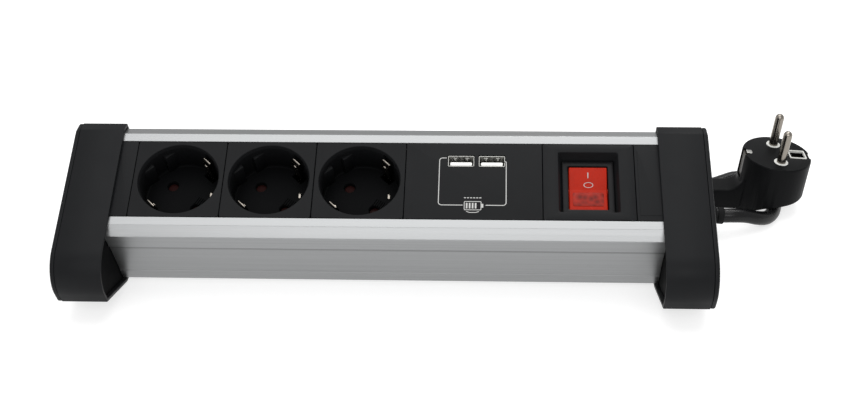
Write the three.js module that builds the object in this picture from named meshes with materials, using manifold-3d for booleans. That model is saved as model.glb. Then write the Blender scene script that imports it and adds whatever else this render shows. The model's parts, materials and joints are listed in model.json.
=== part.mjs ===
// Desk power strip: an aluminium trunking with three 45 mm sockets, a twin USB charger and an
// illuminated rocker switch, between two moulded end caps that hold the face at a slope.
// Millimetres. Row frame: X along the strip, Y towards the back, Z up, origin on the desk under the
// middle of the strip. Most pieces are built in the strip's own frame: x along the strip from the left
// edge of socket 1, y up the sloping face from the lower edge of the module row, z out of the face.
import * as THREE from 'three';
import { mergeVertices } from 'three/addons/utils/BufferGeometryUtils.js';
import Module from 'manifold-3d';

const wasm = await Module();
wasm.setup();

// ---- driving dimensions ------------------------------------------------------------------------
const SLOPE = THREE.MathUtils.degToRad(25);
const GAP = 0.3;                       // clearance between neighbouring pieces
const MODULE = 45;                     // height of the module row
const PITCH = 45.3;                    // one socket or switch module and its joint
const SOCKETS = 3;
const USB_START = SOCKETS * PITCH;
const SWITCH_START = USB_START + 67.8;
const BLANK_START = SWITCH_START + PITCH;
const BAND_LEFT = -8.3;                // inner edges of the two end caps
const BAND_RIGHT = BLANK_START + 12.3;
const CAP_WIDTH = 25.2;
const CAP_WALL = 1.7;
const NOSE_RADIUS = 16.5;
const FOOT_HEIGHT = 0.8;
const WEB_DEPTH = 2;                   // the cap's closing web lies this far inside its inner edge
const WEB = 2.5;
const COVER = 2.4;
const WALL = 1.8;                      // trunking wall

const RECESS_RADIUS = 19.7;
const RECESS_DEPTH = 17.5;
const PIN_OFFSET = 9.5;                // socket and plug pins from the middle
const PIN_RADIUS = 2.4;
const PIN_LENGTH = 19;
const SOCKET_TURN = THREE.MathUtils.degToRad(45);

const CORD_RADIUS = 3.8;
const CORD_LIES = 3.9;                 // middle of the cord where it lies on the desk
const HANK_LEFT = -48;                 // middles of the hank's round ends
const HANK_RIGHT = 90;
const HANK_MOUTH = 100;                // the cord goes in and comes out here
const HANK_Y = 89.3;
const HANK_WIDTH = 71.4;
const HANK_HEIGHT = 15.9;

// ---- materials ---------------------------------------------------------------------------------
const finish = (color, roughness, metalness) =>
  new THREE.MeshStandardMaterial({ color, roughness, metalness });
const aluminium = finish(0xc9cbcc, 0.38, 0.9);
const blackPlastic = finish(0x2b2d2f, 0.55, 0);
const darkPlastic = finish(0x1c1d1f, 0.4, 0);
const whitePlastic = finish(0xe8e8e4, 0.45, 0);
const rubber = finish(0x18191a, 0.8, 0);
const steel = finish(0xb9bbbd, 0.3, 1);
const nickel = finish(0xcfcdc6, 0.25, 1);
const brass = finish(0xc2a253, 0.35, 1);
const redPlastic = finish(0xc0301c, 0.25, 0);
const shutterPlastic = finish(0x7a2c22, 0.5, 0);
const board = finish(0x1f5a3a, 0.5, 0);
const wireColours = { live: 0x6b4226, neutral: 0x2f5fa8, earth: 0x6d9a2f };
const cordPlastic = finish(0x121314, 0.3, 0);

// ---- solids ------------------------------------------------------------------------------------
function solid(geometry) {
  const bare = geometry.clone();
  bare.deleteAttribute('normal');
  bare.deleteAttribute('uv');
  const merged = mergeVertices(bare, 1e-4);
  const corners = merged.index.array;
  const triangles = [];
  for (let i = 0; i < corners.length; i += 3) {
    const [a, b, c] = corners.slice(i, i + 3);
    if (a !== b && b !== c && c !== a) triangles.push(a, b, c);
  }
  return new wasm.Manifold(new wasm.Mesh({
    numProp: 3,
    vertProperties: new Float32Array(merged.attributes.position.array),
    triVerts: new Uint32Array(triangles),
  }));
}

function geometryOf(body) {
  const mesh = body.getMesh();
  const geometry = new THREE.BufferGeometry();
  geometry.setAttribute('position', new THREE.BufferAttribute(mesh.vertProperties, 3));
  geometry.setIndex(new THREE.BufferAttribute(mesh.triVerts, 1));
  return geometry;
}

const join = (first, ...others) => others.reduce((body, other) => body.add(other), first);
const cut = (first, ...others) => others.reduce((body, other) => body.subtract(other), first);

function box(x0, x1, y0, y1, z0, z1) {
  return new THREE.BoxGeometry(x1 - x0, y1 - y0, z1 - z0)
    .translate((x0 + x1) / 2, (y0 + y1) / 2, (z0 + z1) / 2);
}

// A box whose bottom face is smaller or larger than its top face.
function taperedBox(x, y, top, bottom, z0, z1) {
  const geometry = box(-1, 1, -1, 1, z0, z1);
  const place = geometry.attributes.position;
  for (let i = 0; i < place.count; i += 1) {
    const half = place.getZ(i) > (z0 + z1) / 2 ? top : bottom;
    place.setXY(i, x + place.getX(i) * half[0], y + place.getY(i) * half[1]);
  }
  return geometry;
}

function cylinder(x, y, radius, z0, z1, sides = 32) {
  return new THREE.CylinderGeometry(radius, radius, z1 - z0, sides)
    .rotateX(Math.PI / 2).translate(x, y, (z0 + z1) / 2);
}

function cylinderAlong(x0, x1, y, z, radius, sides = 16) {
  return new THREE.CylinderGeometry(radius, radius, x1 - x0, sides)
    .rotateZ(Math.PI / 2).translate((x0 + x1) / 2, y, z);
}

// A body turned about z; its profile is [radius, height] pairs that go upwards.
function turned(profile, sides) {
  const points = profile.map(([radius, height]) => new THREE.Vector2(radius, height));
  return new THREE.LatheGeometry(points, sides).rotateX(Math.PI / 2);
}

const shapeOf = (points) => new THREE.Shape(points.map(([a, b]) => new THREE.Vector2(a, b)));
const extrude = (shape, depth) => new THREE.ExtrudeGeometry(shape, { depth, bevelEnabled: false });

// A [y, z] outline drawn out along x.
const alongX = new THREE.Matrix4().set(0, 0, 1, 0, 1, 0, 0, 0, 0, 1, 0, 0, 0, 0, 0, 1);
function profileAlong(points, x0, x1) {
  return extrude(shapeOf(points), x1 - x0).applyMatrix4(alongX).translate(x0, 0, 0);
}

function tube(route, radius, sides, steps) {
  const curve = new THREE.CatmullRomCurve3(route.map((p) => new THREE.Vector3(...p)), false, 'centripetal');
  const ring = [];
  for (let i = 0; i < sides; i += 1) {
    const turn = (2 * Math.PI * i) / sides;
    ring.push([radius * Math.cos(turn), radius * Math.sin(turn)]);
  }
  return new THREE.ExtrudeGeometry(shapeOf(ring), { steps, extrudePath: curve, bevelEnabled: false });
}

// ---- the end caps' outline ---------------------------------------------------------------------
// Corners in the strip's frame as [y, z, rounding]. The base runs at the slope, so it lies level on
// the desk, and so does the short flat at the top.
const NOSE_Y = -36.5;
const NOSE_FOOT_Z = -20.9;
const FACE_Z = 2;
const BASE_CORNER = [-10, NOSE_FOOT_Z - (-10 - NOSE_Y)];
const REAR_Y = 57.2;
const TOP_Y = 50.5;
const slopeDown = Math.tan(SLOPE);
const capCorners = [
  [TOP_Y, FACE_Z, 2],
  [NOSE_Y, FACE_Z, NOSE_RADIUS],
  [NOSE_Y, NOSE_FOOT_Z, 1.5],
  [...BASE_CORNER, 4],
  [REAR_Y, BASE_CORNER[1] - (REAR_Y - BASE_CORNER[0]) * slopeDown, NOSE_RADIUS],
  [REAR_Y, FACE_Z - (REAR_Y - TOP_Y) * slopeDown, 2],
];

// The cap's outline drawn inwards by an inset, with arcs at its corners.
function capOutline(inset) {
  const count = capCorners.length;
  const at = (i) => new THREE.Vector2(...capCorners[(i + count) % count]);
  const inward = (i) => {
    const along = at(i + 1).sub(at(i)).normalize();
    return new THREE.Vector2(-along.y, along.x);
  };
  const points = [];
  for (let i = 0; i < count; i += 1) {
    const before = inward(i - 1);
    const after = inward(i);
    const radius = Math.max(capCorners[i][2], inset + 0.3);
    const middle = before.clone().add(after).multiplyScalar(radius / (1 + before.dot(after))).add(at(i));
    const first = Math.atan2(-before.y, -before.x);
    let sweep = Math.atan2(-after.y, -after.x) - first;
    if (sweep < 0) sweep += 2 * Math.PI;
    const steps = Math.max(1, Math.round((sweep * radius) / 2.8));
    for (let k = 0; k <= steps; k += 1) {
      const turn = first + (sweep * k) / steps;
      points.push([
        middle.x + (radius - inset) * Math.cos(turn),
        middle.y + (radius - inset) * Math.sin(turn),
      ]);
    }
  }
  return points;
}

// ---- the strip's place in the row frame --------------------------------------------------------
const levels = ([y, z]) => y * Math.sin(SLOPE) + z * Math.cos(SLOPE);
const backs = ([y, z]) => y * Math.cos(SLOPE) - z * Math.sin(SLOPE);
const reach = capOutline(0).map(backs);
const MIDDLE_X = (BAND_LEFT + BAND_RIGHT) / 2;
const MIDDLE_Y = (Math.min(...reach) + Math.max(...reach)) / 2;
const BASE_Z = FOOT_HEIGHT - levels(BASE_CORNER);
const stripPlace = new THREE.Matrix4().makeRotationX(SLOPE).setPosition(-MIDDLE_X, -MIDDLE_Y, BASE_Z);
const intoStrip = stripPlace.clone().invert();
const HALF_LENGTH = (BAND_RIGHT - BAND_LEFT) / 2 + CAP_WIDTH;

const model = new THREE.Group();
const strip = new THREE.Group();
strip.applyMatrix4(stripPlace);
model.add(strip);

function place(group, name, shape, material) {
  const geometry = shape.isBufferGeometry ? shape : geometryOf(shape);
  const mesh = new THREE.Mesh(geometry, material);
  mesh.name = name;
  group.add(mesh);
}

// ---- trunking ----------------------------------------------------------------------------------
const SIDE_LOW = -10;
const SIDE_HIGH = 55;
const DEEP = -45.6;
const SCREW_PORTS = [[-4.6, -40.2], [49.6, -12]];

// Half of the section, from the lip to the floor, with `side` turning it to the row's other side.
function sidePoints(side) {
  const y = (value) => (side < 0 ? value : MODULE - value);
  return {
    outer: [[0, 0], [-4.65, 0], [-10, -3.1], [-10, -12.7], [-9.2, -13.3], [-9.2, -36.5],
      [-10, -37.5], [-10, DEEP + 1.5], [-8.5, DEEP]].map(([a, b]) => [y(a), b]),
    inner: [[-8.2, DEEP + WALL], [-8.2, -37.5], [-7.4, -36.5], [-7.4, -13.3], [-8.2, -12.7],
      [-8.2, -4.2], [-5.2, -WALL], [0, -WALL]].map(([a, b]) => [y(a), b]),
  };
}

function trunking() {
  const low = sidePoints(-1);
  const high = sidePoints(1);
  const section = [...low.outer, ...high.outer.reverse(), ...high.inner.reverse(), ...low.inner];
  const start = BAND_LEFT - WEB_DEPTH + GAP;
  const end = BAND_RIGHT + WEB_DEPTH - GAP;
  let body = solid(profileAlong(section, start, end));
  for (const [y, z] of SCREW_PORTS) {
    body = body.add(solid(cylinderAlong(start, end, y, z, 3.7)));
    body = body.subtract(solid(cylinderAlong(start - 1, end + 1, y, z, 1.7)));
  }
  return body;
}
place(strip, 'trunking_profile', trunking(), aluminium);

// ---- end caps ----------------------------------------------------------------------------------
const FEET_BACK = [18, 50];            // from the front edge of the module row, towards the back
const FOOT_SIZE = [17, 13];
const GLAND_BACK = 62.5;
const GLAND_UP = 12;
const glandAxis = new THREE.Vector3(0, GLAND_BACK - MIDDLE_Y, GLAND_UP).applyMatrix4(intoStrip);
const footCentre = (side, back) => [side * (HALF_LENGTH - CAP_WIDTH / 2), back - MIDDLE_Y];

for (const [name, side, edge] of [['left', -1, BAND_LEFT], ['right', 1, BAND_RIGHT]]) {
  // x between two distances outwards from the cap's inner edge
  const span = (a, b) => [edge + side * a, edge + side * b].sort((p, q) => p - q);
  const drawn = (inset, a, b) => solid(profileAlong(capOutline(inset), ...span(a, b)));
  const sectionSpan = span(-1, WEB_DEPTH);
  const trunkingRoom = box(...sectionSpan, SIDE_LOW - GAP, SIDE_HIGH + GAP, DEEP - GAP, GAP);

  let cap = drawn(0, 0, CAP_WIDTH - COVER - GAP);
  cap = cut(cap, drawn(CAP_WALL, -1, WEB_DEPTH), solid(trunkingRoom));
  cap = cap.subtract(drawn(CAP_WALL, WEB_DEPTH + WEB, CAP_WIDTH));
  for (const [y, z] of SCREW_PORTS) {
    cap = cap.subtract(solid(cylinderAlong(...span(0, 8), y, z, 2.2)));
  }
  if (side > 0) cap = cap.subtract(solid(box(...span(0, 8), 27, 43, -42, -29)));
  for (const back of FEET_BACK) {
    const [x, y] = footCentre(side, back);
    const halfX = FOOT_SIZE[0] / 2 + GAP;
    const halfY = FOOT_SIZE[1] / 2 + GAP;
    const pocket = box(x - halfX, x + halfX, y - halfY, y + halfY, -1, FOOT_HEIGHT + 0.8);
    cap = cap.subtract(solid(pocket.applyMatrix4(intoStrip)));
  }
  place(strip, `end_cap_${name}`, cap, blackPlastic);

  let cover = join(drawn(0.4, CAP_WIDTH - COVER, CAP_WIDTH - 0.9), drawn(1.2, CAP_WIDTH - 1, CAP_WIDTH));
  const rim = cut(
    drawn(CAP_WALL + GAP, CAP_WIDTH - COVER - 3, CAP_WIDTH - COVER + 0.2),
    drawn(CAP_WALL + GAP + 1.2, CAP_WIDTH - COVER - 4, CAP_WIDTH - COVER + 1),
  );
  cover = cover.add(rim);
  if (side > 0) {
    cover = cover.subtract(solid(cylinderAlong(...span(15, 30), glandAxis.y, glandAxis.z, 3.9, 20)));
  }
  place(strip, `cap_cover_${name}`, cover, blackPlastic);

  SCREW_PORTS.forEach(([y, z], index) => {
    const webFace = WEB_DEPTH + WEB + GAP;
    const head = cylinderAlong(...span(webFace, webFace + 2.2), y, z, 3.4);
    const shank = cylinderAlong(...span(WEB_DEPTH - 10, webFace + 1), y, z, 1.45);
    const slot = box(...span(webFace + 1.2, webFace + 3), y - 0.5, y + 0.5, z - 4, z + 4);
    const screw = cut(join(solid(head), solid(shank)), solid(slot));
    place(strip, `cap_screw_${name}_${index + 1}`, screw, steel);
  });

  FEET_BACK.forEach((back, index) => {
    const [x, y] = footCentre(side, back);
    const pad = new THREE.BoxGeometry(FOOT_SIZE[0], FOOT_SIZE[1], FOOT_HEIGHT + 0.5);
    pad.translate(x, y, (FOOT_HEIGHT + 0.5) / 2);
    place(model, `foot_${name}_${['front', 'rear'][index]}`, pad, rubber);
  });
}

// ---- the row of modules ------------------------------------------------------------------------
// A module's face plate with the two ledges that lie under the trunking's lips.
function plate(x0, x1, thickness = 4) {
  const left = x0 + GAP / 2;
  const right = x1 - GAP / 2;
  const face = box(left, right, GAP, MODULE - GAP, -thickness, 0);
  const ledges = box(left, right, -2, MODULE + 2, -4, -WALL - GAP);
  return join(solid(face), solid(ledges));
}

place(strip, 'blank_left', plate(BAND_LEFT - 1.5, 0), blackPlastic);
place(strip, 'blank_right', plate(BLANK_START, BAND_RIGHT + 1.5), blackPlastic);

// ---- sockets -----------------------------------------------------------------------------------
const FLOOR = -RECESS_DEPTH;
const UNDER = FLOOR - 2.5;
const ARM_RADIUS = 16.4;
const SHUTTER_TOP = UNDER - GAP;
const RAIL_TOP = -32.3;
const turnedBox = (turn, ...sides) => solid(box(...sides).rotateZ(turn));

function socketRecess() {
  let room = solid(turned([
    [0, FLOOR], [RECESS_RADIUS, FLOOR], [RECESS_RADIUS, -0.8], [20.5, 0], [20.5, 1], [0, 1],
  ], 40));
  for (const turn of [3 * SOCKET_TURN, -SOCKET_TURN]) {
    const key = turnedBox(turn, 17.3, 21, -9.5, 9.5, FLOOR - 1, -5);
    const notch = turnedBox(turn, 17, 19.4, -2.9, 2.9, FLOOR - 2, -4);
    room = room.subtract(key.subtract(notch));
  }
  return room;
}
const recess = socketRecess();

function socketInsert() {
  const half = MODULE / 2;
  const skirt = cut(solid(box(-20.5, 20.5, -20.5, 20.5, -30, -18)), solid(box(-19, 19, -19, 19, -31, -17)));
  let body = plate(-PITCH / 2, PITCH / 2).translate([0, -half, 0]);
  body = join(body, solid(cylinder(0, 0, 21.4, UNDER, -1, 40)), skirt);
  body = body.subtract(recess);
  body = body.add(solid(cylinder(0, 0, 1.5, UNDER - 2.4, UNDER + 1, 16)));
  for (const turn of [3 * SOCKET_TURN, -SOCKET_TURN]) {
    const hole = cylinder(PIN_OFFSET, 0, 2.7, UNDER - 1, FLOOR + 1, 16).rotateZ(turn);
    body = body.subtract(solid(hole));
  }
  for (const turn of [SOCKET_TURN, -3 * SOCKET_TURN]) {
    body = body.subtract(turnedBox(turn, ARM_RADIUS - 1, 19.2, -3.6, 3.6, UNDER - 1, FLOOR + 1));
  }
  return body;
}

// One bent strip: two sprung arms, the bridge that joins them and the leg down to the earth rail.
function earthClip() {
  const arm = [[17.6, -24.4], [17.6, -17], [16.9, -8], [18.4, -3], [17.6, -2.6], [16.1, -8],
    [16.8, -17], [16.8, -23.6]];
  const mirror = arm.map(([a, b]) => [-a, b]).reverse();
  const bridge = extrude(shapeOf([...arm, ...mirror]), 6.4).translate(0, 0, -3.2);
  const leg = box(-2, 2, -2.6, 2.6, RAIL_TOP + GAP, -24);
  return join(solid(bridge.rotateX(Math.PI / 2)), solid(leg)).rotate([0, 0, 45]);
}

function shutter() {
  const blades = box(-13.2, 13.2, -3.5, 3.5, SHUTTER_TOP - 1.5, SHUTTER_TOP);
  const hub = cylinder(0, 0, 4.4, SHUTTER_TOP - 1.5, SHUTTER_TOP, 24);
  const bore = cylinder(0, 0, 1.8, SHUTTER_TOP - 3, SHUTTER_TOP + 1, 16);
  return cut(join(solid(blades), solid(hub)), solid(bore)).rotate([0, 0, 135]);
}

function pinContact() {
  const sleeve = cut(
    solid(cylinder(0, 0, 3.7, RAIL_TOP + GAP, -23.6, 20)),
    solid(cylinder(0, 0, 2.5, RAIL_TOP - 1, -22, 20)),
    solid(box(0, 5, -0.7, 0.7, RAIL_TOP - 1, -22)),
  );
  return sleeve;
}

const insertBody = socketInsert();
const clipBody = earthClip();
const shutterBody = shutter();
const contactBody = pinContact();
const across = PIN_OFFSET * Math.cos(SOCKET_TURN);
for (let index = 0; index < SOCKETS; index += 1) {
  const centre = [PITCH * (index + 0.5), MODULE / 2, 0];
  const number = index + 1;
  const at = (dx, dy) => [centre[0] + dx, centre[1] + dy, 0];
  place(strip, `socket_insert_${number}`, insertBody.translate(centre), blackPlastic);
  place(strip, `earth_clip_${number}`, clipBody.translate(centre), nickel);
  place(strip, `socket_shutter_${number}`, shutterBody.translate(centre), shutterPlastic);
  place(strip, `live_contact_${number}`, contactBody.translate(at(-across, across)), brass);
  place(strip, `neutral_contact_${number}`, contactBody.translate(at(across, -across)), brass);
}

const railEnds = { live: SWITCH_START + 18, neutral: SWITCH_START + 18, earth: USB_START - 8 };
const railY = { live: MODULE / 2 + across, neutral: MODULE / 2 - across, earth: MODULE / 2 };
for (const name of ['live', 'neutral', 'earth']) {
  const strap = box(8, railEnds[name], railY[name] - 2.6, railY[name] + 2.6, RAIL_TOP - 0.8, RAIL_TOP);
  place(strip, `${name}_rail`, strap, brass);
}

// ---- USB charger -------------------------------------------------------------------------------
const USB_PORTS = [163.4, 178.7];
const PORT_Y = 34.4;
const BOARD_TOP = -15.8;
const PORT_HALF = [6.55, 3.2];

function usbPlate() {
  const walls = cut(
    solid(box(USB_START + 2, SWITCH_START - 2, 2, 43, BOARD_TOP + GAP, -3)),
    solid(box(USB_START + 3.4, SWITCH_START - 3.4, 3.4, 41.6, BOARD_TOP - 1, -2)),
  );
  const face = plate(USB_START, SWITCH_START).subtract(
    solid(box(USB_START + 3.4, SWITCH_START - 3.4, 3.4, 41.6, -5, -2.6)),
  );
  const mouths = USB_PORTS.map((x) => solid(
    box(x - 6.85, x + 6.85, PORT_Y - 3.5, PORT_Y + 3.5, -5, 1),
  ));
  return cut(join(face, walls), ...mouths);
}
place(strip, 'usb_plate', usbPlate(), blackPlastic);
place(strip, 'usb_board', box(USB_START + 3, SWITCH_START - 3, 3, 42, BOARD_TOP - 1.6, BOARD_TOP), board);
place(strip, 'charger_transformer',
  box(SWITCH_START - 22, SWITCH_START - 6, 8, 22, BOARD_TOP + GAP, BOARD_TOP + 10), whitePlastic);
USB_PORTS.forEach((x, index) => {
  const [halfX, halfY] = PORT_HALF;
  const shell = cut(
    solid(box(x - halfX, x + halfX, PORT_Y - halfY, PORT_Y + halfY, BOARD_TOP + GAP, -0.4)),
    solid(box(x - halfX + 0.5, x + halfX - 0.5, PORT_Y - halfY + 0.5, PORT_Y + halfY - 0.5, -13, 1)),
  );
  const tongue = box(x - 5.4, x + 5.4, PORT_Y - 2.2, PORT_Y - 0.3, -13 + GAP, -2);
  place(strip, `usb_shell_${index + 1}`, shell, nickel);
  place(strip, `usb_tongue_${index + 1}`, tongue, whitePlastic);
});

// ---- switch ------------------------------------------------------------------------------------
const SWITCH_X = SWITCH_START + PITCH / 2;
const SWITCH_Y = 22.2;
const RECESS_FLOOR = -6.6;
const BEZEL = [12.8, 15.7];
const BEZEL_TOP = -4.9;
const APERTURE = [9.8, 12.65];
const PIVOT_Z = -9;
const ROCKER_HALF = 9.45;
const ROCKER_END = 12.4;               // the rocker's ends are arcs about its pivot
const ROCKER_REST = THREE.MathUtils.degToRad(6);

function switchPlate() {
  const opening = taperedBox(SWITCH_X, SWITCH_Y + 0.3, [15.1, 17.75], [13.1, 16.3], RECESS_FLOOR, 1);
  const window = box(SWITCH_X - 11.5, SWITCH_X + 11.5, SWITCH_Y - 14.6, SWITCH_Y + 14.6, -9, -6);
  return cut(plate(SWITCH_START, BLANK_START, 8), solid(opening), solid(window));
}

function centredBox(half, z0, z1) {
  return box(SWITCH_X - half[0], SWITCH_X + half[0], SWITCH_Y - half[1], SWITCH_Y + half[1], z0, z1);
}

function switchBody() {
  const bezel = solid(centredBox(BEZEL, RECESS_FLOOR + GAP, BEZEL_TOP));
  const housing = solid(centredBox([11.2, 14.3], -26, -6));
  const room = solid(centredBox(APERTURE, -23, -4));
  const bearings = solid(cylinderAlong(SWITCH_X - 10.8, SWITCH_X + 10.8, SWITCH_Y, PIVOT_Z, 1.8));
  return cut(join(bezel, housing), room, bearings);
}

// A shallow V across the top, drawn level about the pivot and then tipped to its rest position.
function rocker() {
  const arc = (from, to) => [0, 1, 2, 3].map((k) => {
    const turn = THREE.MathUtils.degToRad(from + ((to - from) * k) / 3);
    return [ROCKER_END * Math.cos(turn), ROCKER_END * Math.sin(turn)];
  });
  const right = arc(-15, 18.8);
  const left = right.map(([a, b]) => [-a, b]).reverse();
  const section = [[-6, -5.5], [6, -5.5], ...right, [0, 2.35], ...left];
  const lever = solid(profileAlong(section, -ROCKER_HALF, ROCKER_HALF));
  const trunnions = solid(cylinderAlong(-10.6, 10.6, 0, 0, 1.5));
  return geometryOf(lever.add(trunnions)).rotateX(ROCKER_REST).translate(SWITCH_X, SWITCH_Y, PIVOT_Z);
}

place(strip, 'switch_plate', switchPlate(), blackPlastic);
place(strip, 'switch_body', switchBody(), darkPlastic);
place(strip, 'switch_rocker', rocker(), redPlastic);
place(strip, 'switch_lamp', cylinder(SWITCH_X, SWITCH_Y - 6, 2, -23 + GAP, -16.2, 16), whitePlastic);
const terminalY = [SWITCH_Y + 7, SWITCH_Y - 7];
terminalY.forEach((y, index) => {
  const blade = box(SWITCH_X - 3.1, SWITCH_X + 3.1, y - 0.4, y + 0.4, -35, -26 - GAP);
  place(strip, `switch_terminal_${index + 1}`, blade, brass);
});

// ---- cord entry in the right cap ---------------------------------------------------------------
const RELIEF_LENGTH = 14;
const RELIEF_DROOP = THREE.MathUtils.degToRad(4);
const glandX = BAND_RIGHT + CAP_WIDTH;
const tailX = glandX - 13;
const collarX = glandX - 8.1;

function gland() {
  const along = (x0, x1, radius) => solid(cylinderAlong(x0, x1, glandAxis.y, glandAxis.z, radius, 20));
  const taper = new THREE.CylinderGeometry(4.4, 5.6, RELIEF_LENGTH, 20).rotateZ(-Math.PI / 2)
    .translate(RELIEF_LENGTH / 2, 0, 0).rotateY(RELIEF_DROOP)
    .translate(HALF_LENGTH + 1.5, GLAND_BACK - MIDDLE_Y, GLAND_UP);
  return join(along(tailX, glandX + 3, 3.6), along(collarX, collarX + 2.4, 4.8),
    solid(taper.applyMatrix4(intoStrip)));
}

// A bridge over the cord's tail, standing on the floor of the cap. It is made in the row frame.
function clamp() {
  const x = HALF_LENGTH - 12.6;
  const [y, z] = [GLAND_BACK - MIDDLE_Y, GLAND_UP];
  const bridge = box(x, x + 4, y - 8.5, y + 6, z, z + 6.5);
  const frontLeg = box(x, x + 4, y - 8.5, y - 4.2, 2.9, z + 1);
  return cut(join(solid(bridge), solid(frontLeg)), solid(cylinderAlong(x - 1, x + 5, y, z, 3.9, 20)));
}
place(strip, 'cable_gland', gland(), rubber);
place(model, 'cord_clamp', clamp(), darkPlastic);

// The three cores, from the cord's tail through the window in the web to the switch and the rail.
const wireSpacing = { neutral: -3.3, live: 0, earth: 3.3 };
const switchWire = (y) => [[SWITCH_X + 16, y, -39], [SWITCH_X + 5, y, -40.2], [SWITCH_X, y, -38.4],
  [SWITCH_X, y, -35 - GAP]];
const earthX = USB_START - 11;
const wireEnds = {
  live: switchWire(terminalY[0]),
  neutral: switchWire(terminalY[1]),
  earth: [[SWITCH_X, 37, -40], [USB_START + 30, 34, -40], [earthX + 12, 25, -39.6],
    [earthX + 3, MODULE / 2, -38.6], [earthX, MODULE / 2, -36.4], [earthX, MODULE / 2, RAIL_TOP - 0.8 - GAP]],
};
for (const [name, offset] of Object.entries(wireSpacing)) {
  const y = 36.2 + offset;
  const entry = [[tailX - 0.6, glandAxis.y + offset, glandAxis.z],
    [tailX - 2, glandAxis.y + offset, glandAxis.z], [tailX - 4, y + 1, glandAxis.z + 6],
    [tailX - 4.4, y, -44], [tailX - 7, y, -37.8], [tailX - 12, y, -36.4], [BAND_RIGHT - 6, y, -37.4]];
  const core = tube([...entry, ...wireEnds[name]], 1.25, 8, 30);
  place(strip, `${name}_wire`, core, finish(wireColours[name], 0.5, 0));
}

// ---- cord and hank, in the row frame -----------------------------------------------------------
const reliefEnd = [
  HALF_LENGTH + 1.5 + (RELIEF_LENGTH + GAP) * Math.cos(RELIEF_DROOP),
  GLAND_BACK - MIDDLE_Y,
  GLAND_UP - (RELIEF_LENGTH + GAP) * Math.sin(RELIEF_DROOP),
];
const NECK_END = [159, 66.5, 7.9];
// Out of the relief, down to the desk, round under the plug's raised side and back behind the strip.
const fromStrip = [reliefEnd, [181, 39.1, 11], [188, 40.8, 9.7], [194.5, 42.8, 7.2], [200.2, 46.9, 4.7],
  [204.3, 52.6, CORD_LIES], [206.9, 60.4, CORD_LIES], [207.9, 70.4, CORD_LIES], [205.6, 79.6, CORD_LIES],
  [201, 86, CORD_LIES], [194.8, 89.4, CORD_LIES], [188.4, 89, CORD_LIES], [182.8, 85.9, CORD_LIES],
  [176.8, 82.4, CORD_LIES], [169.8, 80.4, CORD_LIES], [161.8, 81, CORD_LIES], [154.2, 84.4, CORD_LIES],
  [147.4, 90, CORD_LIES], [141, 97, CORD_LIES], [134.5, 104.3, CORD_LIES], [127.5, 110.7, CORD_LIES],
  [119, 116.2, CORD_LIES], [110, 119.8, CORD_LIES], [HANK_MOUTH, 121.1, CORD_LIES]];
// Off the top of the hank and down to the plug's neck.
const toPlug = [[HANK_MOUTH, 58.2, 12.1], [110, 60.4, 12.1], [120, 63, 12], [130, 65, 11.2], [140, 66.2, 9.8],
  [150, 66.6, 8.6], NECK_END];
place(model, 'cord_from_strip', tube(fromStrip, CORD_RADIUS, 10, 15), cordPlastic);
place(model, 'cord_to_plug', tube(toPlug, CORD_RADIUS, 10, 5), cordPlastic);

// Two layers of runs with round ends. The cord comes in low at the back and leaves on top at the front.
const TIE = { x: 23, half: 6, thick: 1.2 };
function hank() {
  const half = HANK_WIDTH / 2;
  const outline = new THREE.Shape();
  outline.absarc(HANK_RIGHT, 0, half, -Math.PI / 2, Math.PI / 2, false);
  outline.absarc(HANK_LEFT, 0, half, Math.PI / 2, 1.5 * Math.PI, false);
  const bundle = new THREE.ExtrudeGeometry(outline, { depth: HANK_HEIGHT, bevelEnabled: false, curveSegments: 12 })
    .translate(0, HANK_Y, 0);
  const groove = TIE.thick + GAP;
  const [x0, x1] = [TIE.x - TIE.half - GAP, TIE.x + TIE.half + GAP];
  const edge = half - groove;
  const belt = cut(
    solid(box(x0, x1, HANK_Y - half - 1, HANK_Y + half + 1, -1, HANK_HEIGHT + 1)),
    solid(box(x0 - 1, x1 + 1, HANK_Y - edge, HANK_Y + edge, groove, HANK_HEIGHT - groove)),
  );
  const wayIn = box(HANK_MOUTH - 1.2, 140, 112, 140, -1, HANK_HEIGHT + 1);
  const wayOut = box(HANK_MOUTH - 1.2, 140, 40, 74, 7.9, HANK_HEIGHT + 1);
  return cut(solid(bundle), belt, solid(wayIn), solid(wayOut));
}

function tie() {
  const outer = HANK_WIDTH / 2;
  const inner = outer - TIE.thick;
  const [x0, x1] = [TIE.x - TIE.half, TIE.x + TIE.half];
  return cut(
    solid(box(x0, x1, HANK_Y - outer, HANK_Y + outer, 0, HANK_HEIGHT)),
    solid(box(x0 - 1, x1 + 1, HANK_Y - inner, HANK_Y + inner, TIE.thick, HANK_HEIGHT - TIE.thick)),
  );
}
place(model, 'cord_hank', hank(), cordPlastic);
place(model, 'cord_tie', tie(), darkPlastic);

// ---- plug --------------------------------------------------------------------------------------
// Drawn with the pins up: the face is z = 0, the pins stand in line along y and the neck leaves
// towards -x. The plug leans a little, because its back slopes and its far side lies over the cord.
const plugFace = [206.3, 68.2, 32.5];
const PLUG_RADIUS = 18.5;
const PLUG_LEAN = THREE.MathUtils.degToRad(5.7);
const PLUG_SWING = THREE.MathUtils.degToRad(3.2);
const plug = new THREE.Group();
plug.position.set(...plugFace);
plug.rotation.set(0, PLUG_LEAN, PLUG_SWING, 'ZYX');
model.add(plug);
plug.updateMatrixWorld(true);
const intoPlug = plug.matrixWorld.clone().invert();

const INSERT_DEPTH = 8;
const COLLAR = 3.8;
const FRAME_X = [6.4, 15.6];
const FRAME_HALF = 4.2;

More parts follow.
